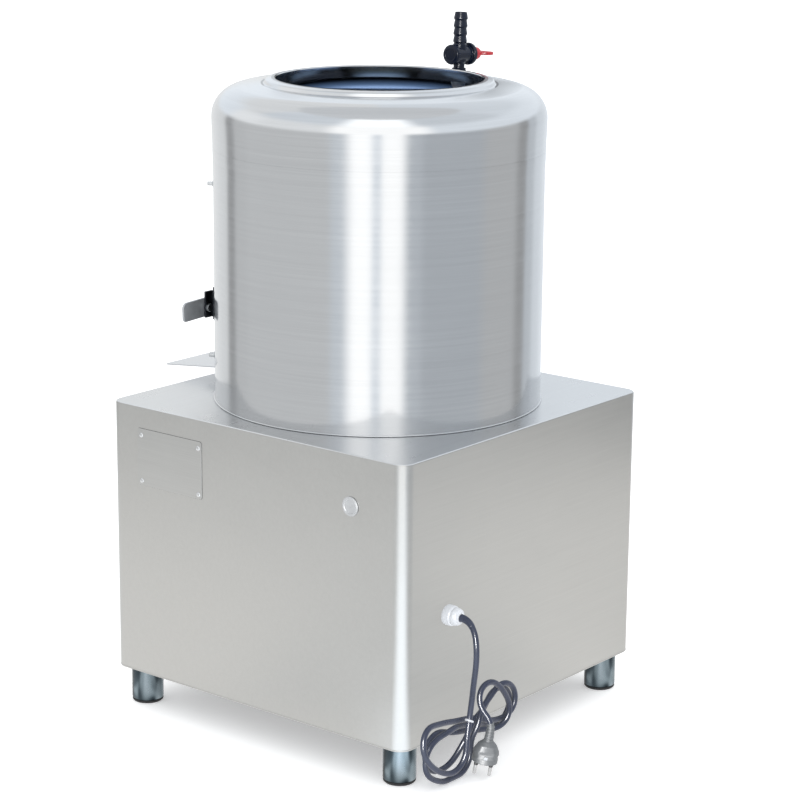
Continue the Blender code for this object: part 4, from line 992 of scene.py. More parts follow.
def switches():
    y = -CAB_Y / 2 - GAP
    bm = prism_bm(rounded_box(0.040, 0.037, 0.006, 8, 0.165, 0.322), 0, 0.0065)
    mesh = from_bm("control_panel", bm)
    mesh.transform(Matrix(((1, 0, 0, 0), (0, 0, -1, y), (0, 1, 0, 0), (0, 0, 0, 1))))
    ob = link("control_panel", mesh, None, (), [M["panel"]])
    for x in (0.147, 0.183):
        cut(ob, rod_bm(0.0113, y - 0.012, y + 0.006, 64, (x, 0, 0.322), "Y"))
    ob.data.shade_smooth()
    bevelled(ob, 0.0009, 3)
    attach(ob, "machine")
    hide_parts("switch_panel")
    for name, node, body, x, mat, slot in (("start_cap", "start_button", "start", 0.147, "green", "green_plastic"), ("stop_cap", "stop_button", "stop", 0.183, "red", "red_plastic")):
        front_y = -0.2650
        prof = [(0, front_y + 0.0004), (0.0058, front_y + 0.0002, 0.002), (0.0088, front_y, 0.0010), (0.0108, front_y + 0.0018, 0.0010), (0.0108, -0.2420), (0, -0.2420)]
        mesh = lathe(name, prof, 72, False, (x, 0, 0.322), "Y")
        weighted(link(name, mesh, body, (node,), [M[mat]]))
        ring = [(0.0114, y - 0.0064), (0.0114, y - 0.0078, 0.0004), (0.0140, y - 0.0078, 0.0008), (0.0144, y - 0.0064)]
        mesh = lathe(name + "_ring", ring, 72, True, (x, 0, 0.322), "Y")
        weighted(link(name + "_ring", mesh, "machine", (), [M["rivet"]]))
    for sx in (-1, 1):
        for sz in (-1, 1):
            x, z = 0.165 + sx * 0.0340, 0.322 + sz * 0.0310
            name = "panel_screw_%s_%s" % ("a" if sx < 0 else "b", "a" if sz < 0 else "b")
            head = [(0, y - 0.0072), (0.0016, y - 0.0081), (0.0026, y - 0.0080, 0.0003), (0.0030, y - 0.0066), (0, y - 0.0066)]
            mesh = lathe(name, head, 32, False, (x, 0, z), "Y")
            weighted(link(name, mesh, "machine", (), [M["zinc"]]))


def gland():
    x, z = GLAND
    at = (x, 0, z)
    # wide rounded barrel against the wall, then a smaller domed nut that grips the lead
    barrel = [(0.0, 0.2455), (0.0098, 0.2455), (0.0098, 0.2503), (0.0128, 0.2503, 0.0008), (0.0133, 0.2540, 0.0040), (0.0128, 0.2608, 0.0035), (0.0110, 0.2626, 0.0012), (0, 0.2626)]
    mesh = lathe("gland_barrel", barrel, 96, False, at, "Y")
    weighted(link("gland_barrel", mesh, "machine", ("cable_gland",), [M["white"]]))
    cap = [(0, 0.2600), (0.0113, 0.2600), (0.0115, 0.2655, 0.004), (0.0098, 0.2700, 0.004), (0.0062, GLAND_END, 0.0016), (0.0048, GLAND_END, 0.0005), (0.0048, GLAND_END - 0.003), (0, GLAND_END - 0.003)]
    prof = rounded_profile(cap, False, 6)
    verts, faces = lathe_lists(prof, 144, False)
    out = []
    for vx, vy, h in verts:
        a = math.atan2(vy, vx)
        k = 1.0
        if 0.2618 < h < 0.2690 and math.hypot(vx, vy) > 0.008:
            k = 1 - 0.008 * (0.5 + 0.5 * math.cos(12 * a)) * min(1, (h - 0.2618) / 0.001, (0.2690 - h) / 0.002)
        out.append((vx * k, vy * k, h))
    mesh = from_lists("gland_cap", out, faces)
    mesh.transform(Matrix.Translation((x, 0, z)) @ turn_axis("Y"))
    weighted(link("gland_cap", mesh, "machine", (), [M["white"]]))
    # tapered strain relief that follows the lead
    line = LEAD_PATH - np.array(AXIS)
    seg = np.linalg.norm(np.diff(line, axis=0), axis=1)
    run = np.concatenate([[0], seg.cumsum()])
    n = 40
    s = np.linspace(0.0, 0.0220, n)
    pts = np.stack([np.interp(s, run, line[:, k]) for k in range(3)], 1)
    rad = 0.0050 - 0.0010 * (s / s[-1])
    mesh = sweep("gland_sleeve", pts, rad, 24)
    link("gland_sleeve", mesh, "machine", (), [M["cord"]])


cabinet()
legs()
side_fittings()
switches()
gland()


# ================================================================ drum, dome and lining
def drum():
    # the wall: plain tube, and the discharge opening with rounded corners
    shell = [(DRUM_R, GAP), (DRUM_R, SHELL_H), (DRUM_R - DRUM_T, SHELL_H), (DRUM_R - DRUM_T, GAP)]
    rows = [(DRUM_R, GAP + (0.300 - GAP) * i / 8) for i in range(9)]
    for i in range(1, 11):                       # the wall opens by a hair towards the top's lower edge
        t = i / 10
        rows.append((DRUM_R + 0.0007 * t * t * (3 - 2 * t), 0.300 + 0.0338 * t))
    rows += [(DRUM_R + 0.0007, SKIRT_Z + 0.0001), (DRUM_R, SKIRT_Z + 0.0001), (DRUM_R, SHELL_H)]
    verts, faces = lathe_lists(rows + shell[2:], 256, True)
    mesh = from_lists("drum_wall", verts, faces)
    mesh.transform(Matrix.Translation((0, 0, ZT)))
    ob = link("drum_wall", mesh, None, (), [M["drum"]])

    def opening():
        place = Matrix(((1, 0, 0, 0), (0, 0, -1, -0.15), (0, 1, 0, 0), (0, 0, 0, 1)))
        hz = (OPEN_Z1 - OPEN_Z0) / 2
        return prism_bm(rounded_box(OPEN_X, hz, 0.008, 8, 0, ZT + (OPEN_Z0 + OPEN_Z1) / 2), 0, 0.11, place)
    cut(ob, opening())
    ob.data.shade_smooth()
    creased(ob)
    weighted(ob)
    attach(ob, "machine")
    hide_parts("drum_shell")

    out = DRUM_R - DRUM_T - GAP
    liner = [(out, 0.0021), (out, SHELL_H - 0.002), (LINER_R, SHELL_H - 0.002, 0.001), (LINER_R, 0.0021)]
    rows = [(LINER_R, SHELL_H - 0.004 - (SHELL_H - 0.006) * i / 90) for i in range(91)]
    verts, faces = lathe_lists([(out, 0.0021), (out, SHELL_H - 0.002), (LINER_R + 0.0006, SHELL_H - 0.002)] + rows, 300, True)
    rng = np.random.default_rng(7)
    v = np.array(verts)
    rad = np.hypot(v[:, 0], v[:, 1])
    inner = rad < LINER_R + 1e-4
    push = np.zeros(len(v))
    push[inner] = -np.abs(rng.normal(0.0, 0.0005, inner.sum()))
    v[:, :2] *= (1 + push / rad)[:, None]
    mesh = from_lists("drum_lining", v, faces)
    mesh.transform(Matrix.Translation((0, 0, ZT)))
    ob = link("drum_lining", mesh, None, (), [M["grit"]])
    cut(ob, opening())
    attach(ob, "machine")
    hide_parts("drum_liner")

    for name, z in (("door_bolt_lower", 0.046), ("door_bolt_upper", 0.278)):
        place = Matrix.Translation((0, 0, ZT + z)) @ Matrix.Rotation(BOLT_A, 4, "Z")
        r0 = DRUM_R + GAP
        washer = lathe("washer_" + name[10:], [(0, r0), (0.0055, r0), (0.0055, r0 + 0.0009, 0.0003), (0, r0 + 0.0009)], 40, False, (0, 0, 0), "X", place=place)
        weighted(link("washer_" + name[10:], washer, "machine", (), [M["rivet"]]))
        hexa = [(0.0053 * math.cos(PI / 3 * k), 0.0053 * math.sin(PI / 3 * k)) for k in range(6)]
        bm = prism_bm(hexa, 0, 0.0038, place @ Matrix(((0, 0, 1, r0 + 0.0009), (1, 0, 0, 0), (0, 1, 0, 0), (0, 0, 0, 1))))
        bevelled(link("nut_" + name[10:], from_bm("nut_" + name[10:], bm), "machine", (name,), [M["zinc"]]), 0.0005, 3)
        prof = [(0, LINER_R)]
        prof.append((0.0030, LINER_R))
        h = r0 + 0.0045
        while h < DRUM_R + 0.0118:
            prof += [(0.0030, h), (0.0026, h + 0.0004)]
            h += 0.0008
        prof += [(0.0024, DRUM_R + 0.0123), (0, DRUM_R + 0.0125)]
        stud = lathe("stud_" + name[10:], prof, 32, False, (0, 0, 0), "X", place=place)
        link("stud_" + name[10:], stud, "machine", (), [M["rivet"]])

    # weld bead round the foot of the drum
    bead = []
    for i in range(12):
        a = 2 * PI * i / 12
        bead.append((DRUM_R + 0.0006 + 0.0016 * math.cos(a), 0.0011 + 0.0010 * math.sin(a)))
    verts, faces = lathe_lists(bead, 360, True)
    out = []
    for x, y, z in verts:
        a = math.atan2(y, x)
        k = 1 + 0.0005 * math.sin(173 * a) + 0.0003 * math.sin(97 * a + 2)
        out.append((x * k, y * k, z))
    mesh = from_lists("drum_foot_weld", out, faces)
    mesh.transform(Matrix.Translation((0, 0, ZT)))
    link("drum_foot_weld", mesh, "machine", (), [M["drum"]])


def dome():
    c = SKIRT_R - SHOULDER_R
    path = [(DRUM_R + 0.0004, SKIRT_Z + 0.0002), (DRUM_R + 0.0007, SKIRT_Z + 0.0002)]
    for i in range(1, 13):
        t = i / 12
        path.append((DRUM_R + 0.0007 + 0.0010 * t * t * (3 - 2 * t), SKIRT_Z + 0.0002 + (SHOULDER_Z - SKIRT_Z - 0.0002) * t))
    top = PI / 2 - TOP_SLOPE
    for i in range(1, 25):
        a = top * i / 24
        path.append((c + SHOULDER_R * math.cos(a), SHOULDER_Z + SHOULDER_R * math.sin(a)))
    r, z = path[-1]
    for w in (0.25, 0.5, 0.75):
        path.append((r + (0.1535 - r) * w, z + (r - 0.1535) * w * math.tan(TOP_SLOPE)))
    path += [(0.1540, z + (r - 0.1540) * math.tan(TOP_SLOPE), 0.0020), (0.1500, z + (r - 0.1500) * math.tan(TOP_SLOPE) - 0.0007, 0.0014),
             (0.1482, LIP_Z - 0.0016, 0.0030), (0.1405, LIP_Z, 0.0020), (MOUTH_R, LIP_Z + 0.0003, 0.0014), (MOUTH_R, 0.4080)]
    outer = rounded_profile(path, False, 4)
    inner = []
    n = len(outer)
    for i, (r, z) in enumerate(outer):
        a, b = outer[max(i - 1, 0)], outer[min(i + 1, n - 1)]
        dr, dz = b[0] - a[0], b[1] - a[1]
        m = math.hypot(dr, dz)
        inner.append((r - dz / m * DRUM_T, z + dr / m * DRUM_T))
    prof = outer + inner[::-1]
    verts, faces = lathe_lists(prof, 288, True)
    mesh = from_lists("drum_top", verts, faces)
    mesh.transform(Matrix.Translation((0, 0, ZT)))
    ob = link("drum_top", mesh, None, (), [M["dome"]])
    cut(ob, rod_bm(0.0083, -0.010, 0.010, 48, place=valve_frame()))
    ob.data.shade_smooth()
    weighted(ob)
    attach(ob, "machine")
    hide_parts("drum_dome")


def valve_frame():
    c = SKIRT_R - SHOULDER_R
    x, y = -0.180, -0.010
    z = SHOULDER_Z + SHOULDER_R / math.cos(TOP_SLOPE) + (c - math.hypot(x, y)) * math.tan(TOP_SLOPE)
    return Matrix.Translation((x, y, ZT + z)) @ Matrix.Rotation(-deg(2.5), 4, "Y")


drum()
dome()


# ================================================================ chute, door, hinges and latch
def finished(node, name, body, mat, width=0.0004, segments=2, angle=32):
    """A CAD node's own shape with its flat faces merged and its edges softened."""
    bm = bmesh.new()
    bm.from_mesh(bpy.data.objects[node].data)
    bmesh.ops.remove_doubles(bm, verts=bm.verts, dist=1e-6)
    bmesh.ops.dissolve_limit(bm, angle_limit=deg(0.6), verts=bm.verts, edges=bm.edges)
    mesh = bpy.data.meshes.new(name)
    bm.to_mesh(mesh)
    bm.free()
    mesh.shade_smooth()
    ob = link(name, mesh, body, (node,), [mat], (0, 0, 0))
    return bevelled(ob, width, segments, angle)


def curved_panel(name, r0, r1, a0, a1, z0, z1, corner, columns=48, rows=24, swell=None):
    """Sheet bent to the drum's curve, with rounded corners. swell(s, z) pushes both faces outwards."""
    mid = (r0 + r1) / 2
    s0, s1 = a0 * mid, a1 * mid
    cols = [s0 + corner * (1 - math.cos(PI / 2 * i / 10)) for i in range(10)]
    cols += [s0 + corner + (s1 - s0 - 2 * corner) * i / columns for i in range(columns + 1)]
    cols += [s1 - corner * (1 - math.cos(PI / 2 * i / 10)) for i in range(9, -1, -1)]
    verts, faces = [], []
    n = len(cols)
    for r in (r0, r1):
        for s in cols:
            d = max(0.0, s0 + corner - s, s - (s1 - corner))
            lift = corner - math.sqrt(max(0.0, corner ** 2 - d ** 2))
            for j in range(rows + 1):
                z = z0 + lift + (z1 - z0 - 2 * lift) * j / rows
                out = swell(s, z) if swell else 0.0
                verts.append((*front(r + out, s / mid), z))
    m = rows + 1

    def vid(layer, i, j):
        return layer * n * m + i * m + j
    for layer in (0, 1):
        for i in range(n - 1):
            for j in range(rows):
                faces.append((vid(layer, i, j), vid(layer, i + 1, j), vid(layer, i + 1, j + 1), vid(layer, i, j + 1)))
    for j in (0, rows):
        for i in range(n - 1):
            faces.append((vid(0, i, j), vid(0, i + 1, j), vid(1, i + 1, j), vid(1, i, j)))
    for i in (0, n - 1):
        for j in range(rows):
            faces.append((vid(0, i, j), vid(0, i, j + 1), vid(1, i, j + 1), vid(1, i, j)))
    return from_lists(name, verts, faces)


def rivet_on_drum(name, r, a, z, size, body, mat):
    """Low domed rivet head standing on the drum's curve at angle a."""
    prof = [(0, -0.0006), (size, -0.0006)]
    for k in range(9):
        t = PI / 2 * k / 8
        prof.append((size * math.cos(t), size * 0.42 * math.sin(t)))
    prof[-1] = (0, size * 0.42)
    x, y = front(r, a)
    place = place_from((math.sin(a), -math.cos(a), 0), (math.cos(a), math.sin(a), 0), (x, y, z))
    weighted(link(name, lathe(name, prof, 32, False, place=place), body, (), [mat]))


def chute():
    n = 40
    a = math.asin(CHUTE_X / (DRUM_R + GAP))
    inner = [front(DRUM_R + GAP, -a + 2 * a * i / n) for i in range(n + 1)]
    fore = []
    for sx in (-1, 1):
        for i in range(9):
            t = PI / 2 * i / 8
            c, r = (sx * (CHUTE_X - 0.006), CHUTE_Y + 0.006), 0.006
            q = (c[0] + sx * r * math.cos(t), c[1] - r * math.sin(t)) if sx < 0 else (c[0] + r * math.sin(t), c[1] - r * math.cos(t))
            fore.append(q)
    bm = prism_bm(fore + inner[::-1], -CHUTE_T, 0)
    y0 = -DRUM_R

    def plane(y):
        return ZT + CHUTE_Z_IN + (CHUTE_Z_IN - CHUTE_Z_OUT) * (y - y0) / (y0 - CHUTE_Y)
    for v in bm.verts:
        v.co.z += plane(v.co.y)
    ob = link("chute_tray", from_bm("chute_tray", bm), "machine", ("discharge_chute",), [M["chute"]])
    bevelled(ob, 0.0005, 3)
    # fillet weld where the tray meets the drum, above and below
    for name, side in (("chute_weld_top", 0.0006), ("chute_weld_under", -CHUTE_T - 0.0006)):
        pts = []
        for i in range(120):
            t = -a * 0.985 + 2 * a * 0.985 * i / 119
            x, y = front(DRUM_R + 0.0010, t)
            pts.append((x, y, plane(y) + side))
        rad = 0.0014 + 0.00025 * np.sin(np.arange(120) * 1.9)
        link(name, sweep(name, pts, rad, 12), "machine", (), [M["zinc"]])


def door():
    zc, half = ZT + (DOOR_Z0 + DOOR_Z1) / 2, (DOOR_Z1 - DOOR_Z0) / 2

    def swell(s, z):
        """Pressed centre panel, raised by a millimetre inside a soft border."""
        u = (DOOR_A * DOOR_R - 0.0215 - abs(s)) / 0.006
        w = (half - 0.0175 - abs(z - zc)) / 0.006
        k = min(1.0, max(0.0, min(u, w)))
        return 0.0010 * k * k * (3 - 2 * k)
    mesh = curved_panel("door_leaf", DOOR_R, DOOR_R + DOOR_T, -DOOR_A, DOOR_A, ZT + DOOR_Z0, ZT + DOOR_Z1, 0.009, 64, 64, swell)
    bevelled(link("door_leaf", mesh, "door", ("discharge_door",), [M["door"]]), 0.0004, 2, 50)
    r1 = DOOR_R + DOOR_T
    hx, hy = HINGE
    for tag, z0 in (("lower", 0.060), ("upper", 0.160)):
        z = ZT + z0
        strap = curved_panel("strap_" + tag, r1 - 0.0002, r1 + 0.0026, deg(-25.3), deg(-10.5), z + 0.001, z + 0.024, 0.005, 24, 6)
        bevelled(link("strap_" + tag, strap, "door", (), [M["door"]]), 0.0004, 2, 50)
        ring = [(HINGE_PIN_R + 0.0004, z), (0.0080, z, 0.0007), (0.0080, z + 0.025, 0.0007), (HINGE_PIN_R + 0.0004, z + 0.025)]
        mesh = lathe("knuckle_" + tag, ring, 48, True, (hx, hy, 0))
        weighted(link("knuckle_" + tag, mesh, "door", (), [M["door"]]))
        for k, a in enumerate((-18.6, -13.2)):
            rivet_on_drum("strap_rivet_%s_%d" % (tag, k + 1), r1 + 0.0026, deg(a), z + 0.0125, 0.0032, "door", M["rivet"])
    # strike that the lever closes over
    mid = DOOR_R + DOOR_T / 2
    root = [(x, -math.sqrt(mid ** 2 - x ** 2)) for x in (0.0660, 0.0590, 0.0520)]
    bm = prism_bm([(0.0520, LEVER_BACK + 0.0005), (0.0660, LEVER_BACK + 0.0005)] + root, ZT + 0.088, ZT + 0.120)
    bevelled(link("strike", from_bm("strike", bm), "door", (), [M["door"]]), 0.0008, 3)

    a = deg(20.0)
    mesh = curved_panel("door_gasket", DRUM_R + 0.0004, DOOR_R - GAP, -a, a, ZT + DOOR_Z0 + 0.0015, ZT + DOOR_Z1 - 0.0015, 0.009, 64, 24)
    ob = link("door_gasket", mesh, None, (), [M["rubber"]])
    place = Matrix(((1, 0, 0, 0), (0, 0, -1, -0.15), (0, 1, 0, 0), (0, 0, 0, 1)))
    hz = (OPEN_Z1 - OPEN_Z0) / 2 + 0.0005
    cut(ob, prism_bm(rounded_box(OPEN_X + 0.0005, hz, 0.0085, 8, 0, ZT + (OPEN_Z0 + OPEN_Z1) / 2), 0, 0.11, place))
    ob.data.shade_smooth()
    weighted(ob)
    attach(ob, "door")
    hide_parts("door_seal")

    for tag, z0 in (("lower", 0.0395), ("upper", 0.1855)):
        z = ZT + z0
        ear = curved_panel("hinge_ear_" + tag, DRUM_R + GAP, DRUM_R + 0.0052, deg(-38), deg(-25.9), z, z + 0.020, 0.004, 20, 6)
        bevelled(link("hinge_ear_" + tag, ear, "machine", ("hinge_bracket_" + tag,), [M["chute"]]), 0.0005, 2, 50)
        ring = [(HINGE_PIN_R + GAP, z), (0.0080, z, 0.0007), (0.0080, z + 0.020, 0.0007), (HINGE_PIN_R + GAP, z + 0.020)]
        weighted(link("hinge_eye_" + tag, lathe("hinge_eye_" + tag, ring, 48, True, (hx, hy, 0)), "machine", (), [M["chute"]]))
        for k, a in enumerate((-35.6, -31.0)):
            rivet_on_drum("ear_rivet_%s_%d" % (tag, k + 1), DRUM_R + 0.0052, deg(a), z + 0.010, 0.0030, "machine", M["rivet"])
    pin = [(0, 0.0365), (HINGE_PIN_R, 0.0365, 0.0012), (HINGE_PIN_R, 0.2060), (0.0065, 0.2060, 0.0006), (0.0065, 0.2092, 0.0016), (0, 0.2100)]
    weighted(link("hinge_rod", lathe("hinge_rod", pin, 40, False, (hx, hy, ZT)), "machine", ("hinge_pin",), [M["zinc"]]))


def latch():
    holder = finished("latch_bracket", "latch_holder", "machine", M["bracket"], 0.0005, 2)
    holder.modifiers.clear()
    for box in ((0.0990, 0.1300, -0.3000, -0.2010, ZT + 0.070, ZT + 0.145), (0.0700, 0.1300, -0.3000, -0.2080, ZT + 0.1260, ZT + 0.145)):
        bm = block_bm(*box)
        bmesh.ops.translate(bm, verts=bm.verts, vec=AXIS)
        cut(holder, bm)
    holder.data.shade_smooth()
    bevelled(holder, 0.0005, 2)
    web = LEVER_BACK + 0.0004
    fore = LEVER_BACK - LEVER_T - GAP
    at = (LATCH_X, 0, ZT + LATCH_Z)
    stud = [(0, fore - 0.0045), (0.0050, fore - 0.0043, 0.0015), (0.0075, fore - 0.0022, 0.0015), (0.0075, fore, 0.0003), (0.0040, fore),
            (0.0040, web + 0.0033), (0.0055, web + 0.0033), (0.0055, web + 0.0075, 0.0006), (0, web + 0.0075)]
    weighted(link("pivot_stud", lathe("pivot_stud", stud, 48, False, at, "Y"), "machine", ("latch_stud",), [M["zinc"]]))
    h, reach = LEVER_H / 2, LEVER_TIP - LATCH_X
    outline = [(h * math.cos(deg(a)), h * math.sin(deg(a))) for a in range(90, 271, 6)]
    for cx, cz, r, a0 in ((reach, -h, 0.0045, -90), (reach, h, 0.0080, 0)):
        s = 1 if cz > 0 else -1
        for i in range(10):
            a = deg(a0 + 10 * i)
            outline.append((cx - r + r * math.cos(a), cz - s * r + r * math.sin(a)))
    place = Matrix.Translation((LATCH_X, LEVER_BACK, ZT + LATCH_Z)) @ Matrix.Rotation(deg(2.5), 4, "Y") @ Matrix.Rotation(PI / 2, 4, "X")
    ob = link("swivel_lever", from_bm("swivel_lever", prism_bm(outline, 0, LEVER_T, place)), None, (), [M["lever"]])
    cut(ob, rod_bm(0.0044, LEVER_BACK - 0.01, LEVER_BACK + 0.006, 40, at, "Y"))
    ob.data.shade_smooth()
    bevelled(ob, 0.0007, 3)
    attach(ob, "latch")
    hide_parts("latch_lever")


chute()
door()
latch()


# ================================================================ water valve
VALVE_C = 0.0245


def valve():
    base = valve_frame()
    seg = 72
    stem = [(0.0068, -0.0120), (0.0068, 0.0014), (0.0095, 0.0014, 0.0004), (0.0095, 0.0060, 0.0008), (0.0075, 0.0066, 0.0004), (0.0075, 0.0126, 0.0008),
            (0.0092, 0.0150, 0.0010), (0.0092, 0.0375, 0.0008), (0.0076, 0.0395, 0.0006)]
    z = 0.0395
    stem[-1] = (0.0080, z, 0.0006)
    for k in range(4):
        stem += [(0.0095, z + 0.0020, 0.0006), (0.0094, z + 0.0032, 0.0006), (0.0082, z + 0.0098, 0.0003)]
        z += 0.0103
    stem[-1] = (0.0080, 0.0810, 0.0006)
    bore = [(0.0045, 0.0810, 0.0004), (0.0045, -0.0120)]
    weighted(link("valve_stem", lathe("valve_stem", stem + bore, seg, True, place=base), "machine", ("valve_body",), [M["navy"]]))
    at = (0, 0, VALVE_C)
    cross = [(0.0042, -0.0220), (0.0138, -0.0220, 0.0006), (0.0150, -0.0208, 0.0006), (0.0150, -0.0172, 0.0006), (0.0138, -0.0160, 0.0006), (0.0108, -0.0156, 0.0010),
             (0.0108, 0.0122, 0.0004), (0.0088, 0.0122), (0.0088, -0.0105), (0.0042, -0.0105)]
    weighted(link("valve_barrel", lathe("valve_barrel", cross, seg, True, at, "X", place=base), "machine", (), [M["navy"]]))
    # two moulding ribs along the barrel
    for k, s in enumerate((-1, 1)):
        bm = block_bm(-0.0152, 0.0118, s * 0.0108 - 0.0009, s * 0.0108 + 0.0009, VALVE_C - 0.0009, VALVE_C + 0.0009)
        mesh = from_bm("valve_rib_%d" % (k + 1), bm)
        mesh.transform(base)
        bevelled(link("valve_rib_%d" % (k + 1), mesh, "machine", (), [M["navy"]]), 0.0003, 2)
    prof = rounded_profile([(0, 0.0088), (0.0084, 0.0088), (0.0084, 0.0125), (0.0130, 0.0125, 0.0004), (0.0136, 0.0135, 0.0004), (0.0136, 0.0180, 0.0006), (0.0122, 0.0200, 0.0010),
                            (0.0085, 0.0205, 0.0006), (0.0080, 0.0200, 0.0004), (0, 0.0200)], False, 4)
    verts, faces = lathe_lists(prof, 144, False)
    out = []
    for x, y, h in verts:
        r = math.hypot(x, y)
        if r > 0.0128 and 0.0130 < h < 0.0186:
            a = math.atan2(y, x)
            k = 1 - 0.022 * (0.5 - 0.5 * math.cos(24 * a))
            x, y = x * k, y * k
        out.append((x, y, h))
    mesh = from_lists("valve_end_cap", out, faces)
    mesh.transform(base @ Matrix.Translation(at) @ turn_axis("X"))
    weighted(link("valve_end_cap", mesh, "machine", ("valve_cap",), [M["navy"]]))

    ball = [(0, -0.0360), (0.0036, -0.0360, 0.0006), (0.0036, -0.0076)]
    for i in range(1, 25):
        a = deg(152 - 152 * i / 24)
        ball.append((0.0083 * math.sin(a), 0.0083 * math.cos(a)))
    ball[-1] = (0, 0.0083)
    ob = link("ball_and_stem", lathe("ball_and_stem", ball, 64, False, at, "X", place=base), None, (), [M["bright"]])
    cut(ob, rod_bm(0.0044, -0.0200, 0.0200, 40, at, "Y", place=base))
    ob.data.shade_smooth()
    weighted(ob)
    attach(ob, "valve_plug")
    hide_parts("valve_ball")

    hub = [(0.0039, -0.0223), (0.0092, -0.0223, 0.0005), (0.0090, -0.0330, 0.0010), (0.0080, -0.0385, 0.0014), (0.0024, -0.0390, 0.0006), (0.0020, -0.0378), (0, -0.0378), (0, -0.0364), (0.0039, -0.0364)]
    mesh = lathe("handle_hub", hub, seg, False, at, "X", place=base)
    weighted(link("handle_hub", mesh, "valve_plug", ("valve_handle",), [M["red"]]))
    side = [(-0.0345, 0.0060), (-0.0385, 0.0080), (-0.0415, 0.0132), (-0.0450, 0.0152), (-0.0510, 0.0156), (-0.0565, 0.0150), (-0.0600, 0.0125), (-0.0615, 0.0075)]
    pts = b_spline([(x, y, 0) for x, y in side], 30)
    wing = [(float(x), float(y)) for x, y, _ in pts]
    wing = wing + [(x, -y) for x, y in wing[::-1]]
    bm = prism_bm(wing, VALVE_C - 0.0021, VALVE_C + 0.0021)
    mesh = from_bm("handle_wing", bm)
    mesh.transform(base)
    bevelled(link("handle_wing", mesh, "valve_plug", (), [M["red"]]), 0.0010, 4)

    nut = [(0.0072, -0.0082), (0.0072, -0.0044), (0.0138, -0.0044, 0.0008), (0.0138, -0.0080, 0.0008)]
    weighted(link("nozzle_nut", lathe("nozzle_nut", nut, 64, True, place=base), "machine", (), [M["bright"]]))
    nozzle = [(0.0072, -0.0125), (0.0072, -0.0084), (0.0108, -0.0084, 0.0004), (0.0102, -0.0130, 0.0010), (0.0080, -0.0200, 0.0012), (0.0046, -0.0206, 0.0006), (0.0040, -0.0190)]
    weighted(link("rinse_nozzle", lathe("rinse_nozzle", nozzle, 64, True, place=base), "machine", ("spray_nozzle",), [M["white"]]))


valve()


# ================================================================ disc, pan, drain and drive
def bent_pipe(name, path, r_out, r_in, seg=48):
    """Hollow tube along a path in the x-z plane. r_out may be one radius per point."""
    path = [Vector(p) for p in path]
    n = len(path)
    outs = [r_out] * n if isinstance(r_out, float) else list(r_out)
    verts, faces = [], []
    side = Vector((0, 1, 0))
    for layer in range(2):
        for i, p in enumerate(path):
            ahead = (path[min(i + 1, n - 1)] - path[max(i - 1, 0)]).normalized()
            other = ahead.cross(side).normalized()
            r = outs[i] if layer == 0 else r_in
            for k in range(seg):
                t = 2 * PI * k / seg
                verts.append(p + (side * math.cos(t) + other * math.sin(t)) * r)
    m = n * seg
    for layer in range(2):
        for i in range(n - 1):
            for k in range(seg):
                j = (k + 1) % seg
                a = layer * m
                faces.append((a + i * seg + k, a + i * seg + j, a + (i + 1) * seg + j, a + (i + 1) * seg + k))
    for i in (0, n - 1):
        for k in range(seg):
            j = (k + 1) % seg
            faces.append((i * seg + k, i * seg + j, m + i * seg + j, m + i * seg + k))
    return from_lists(name, verts, faces)


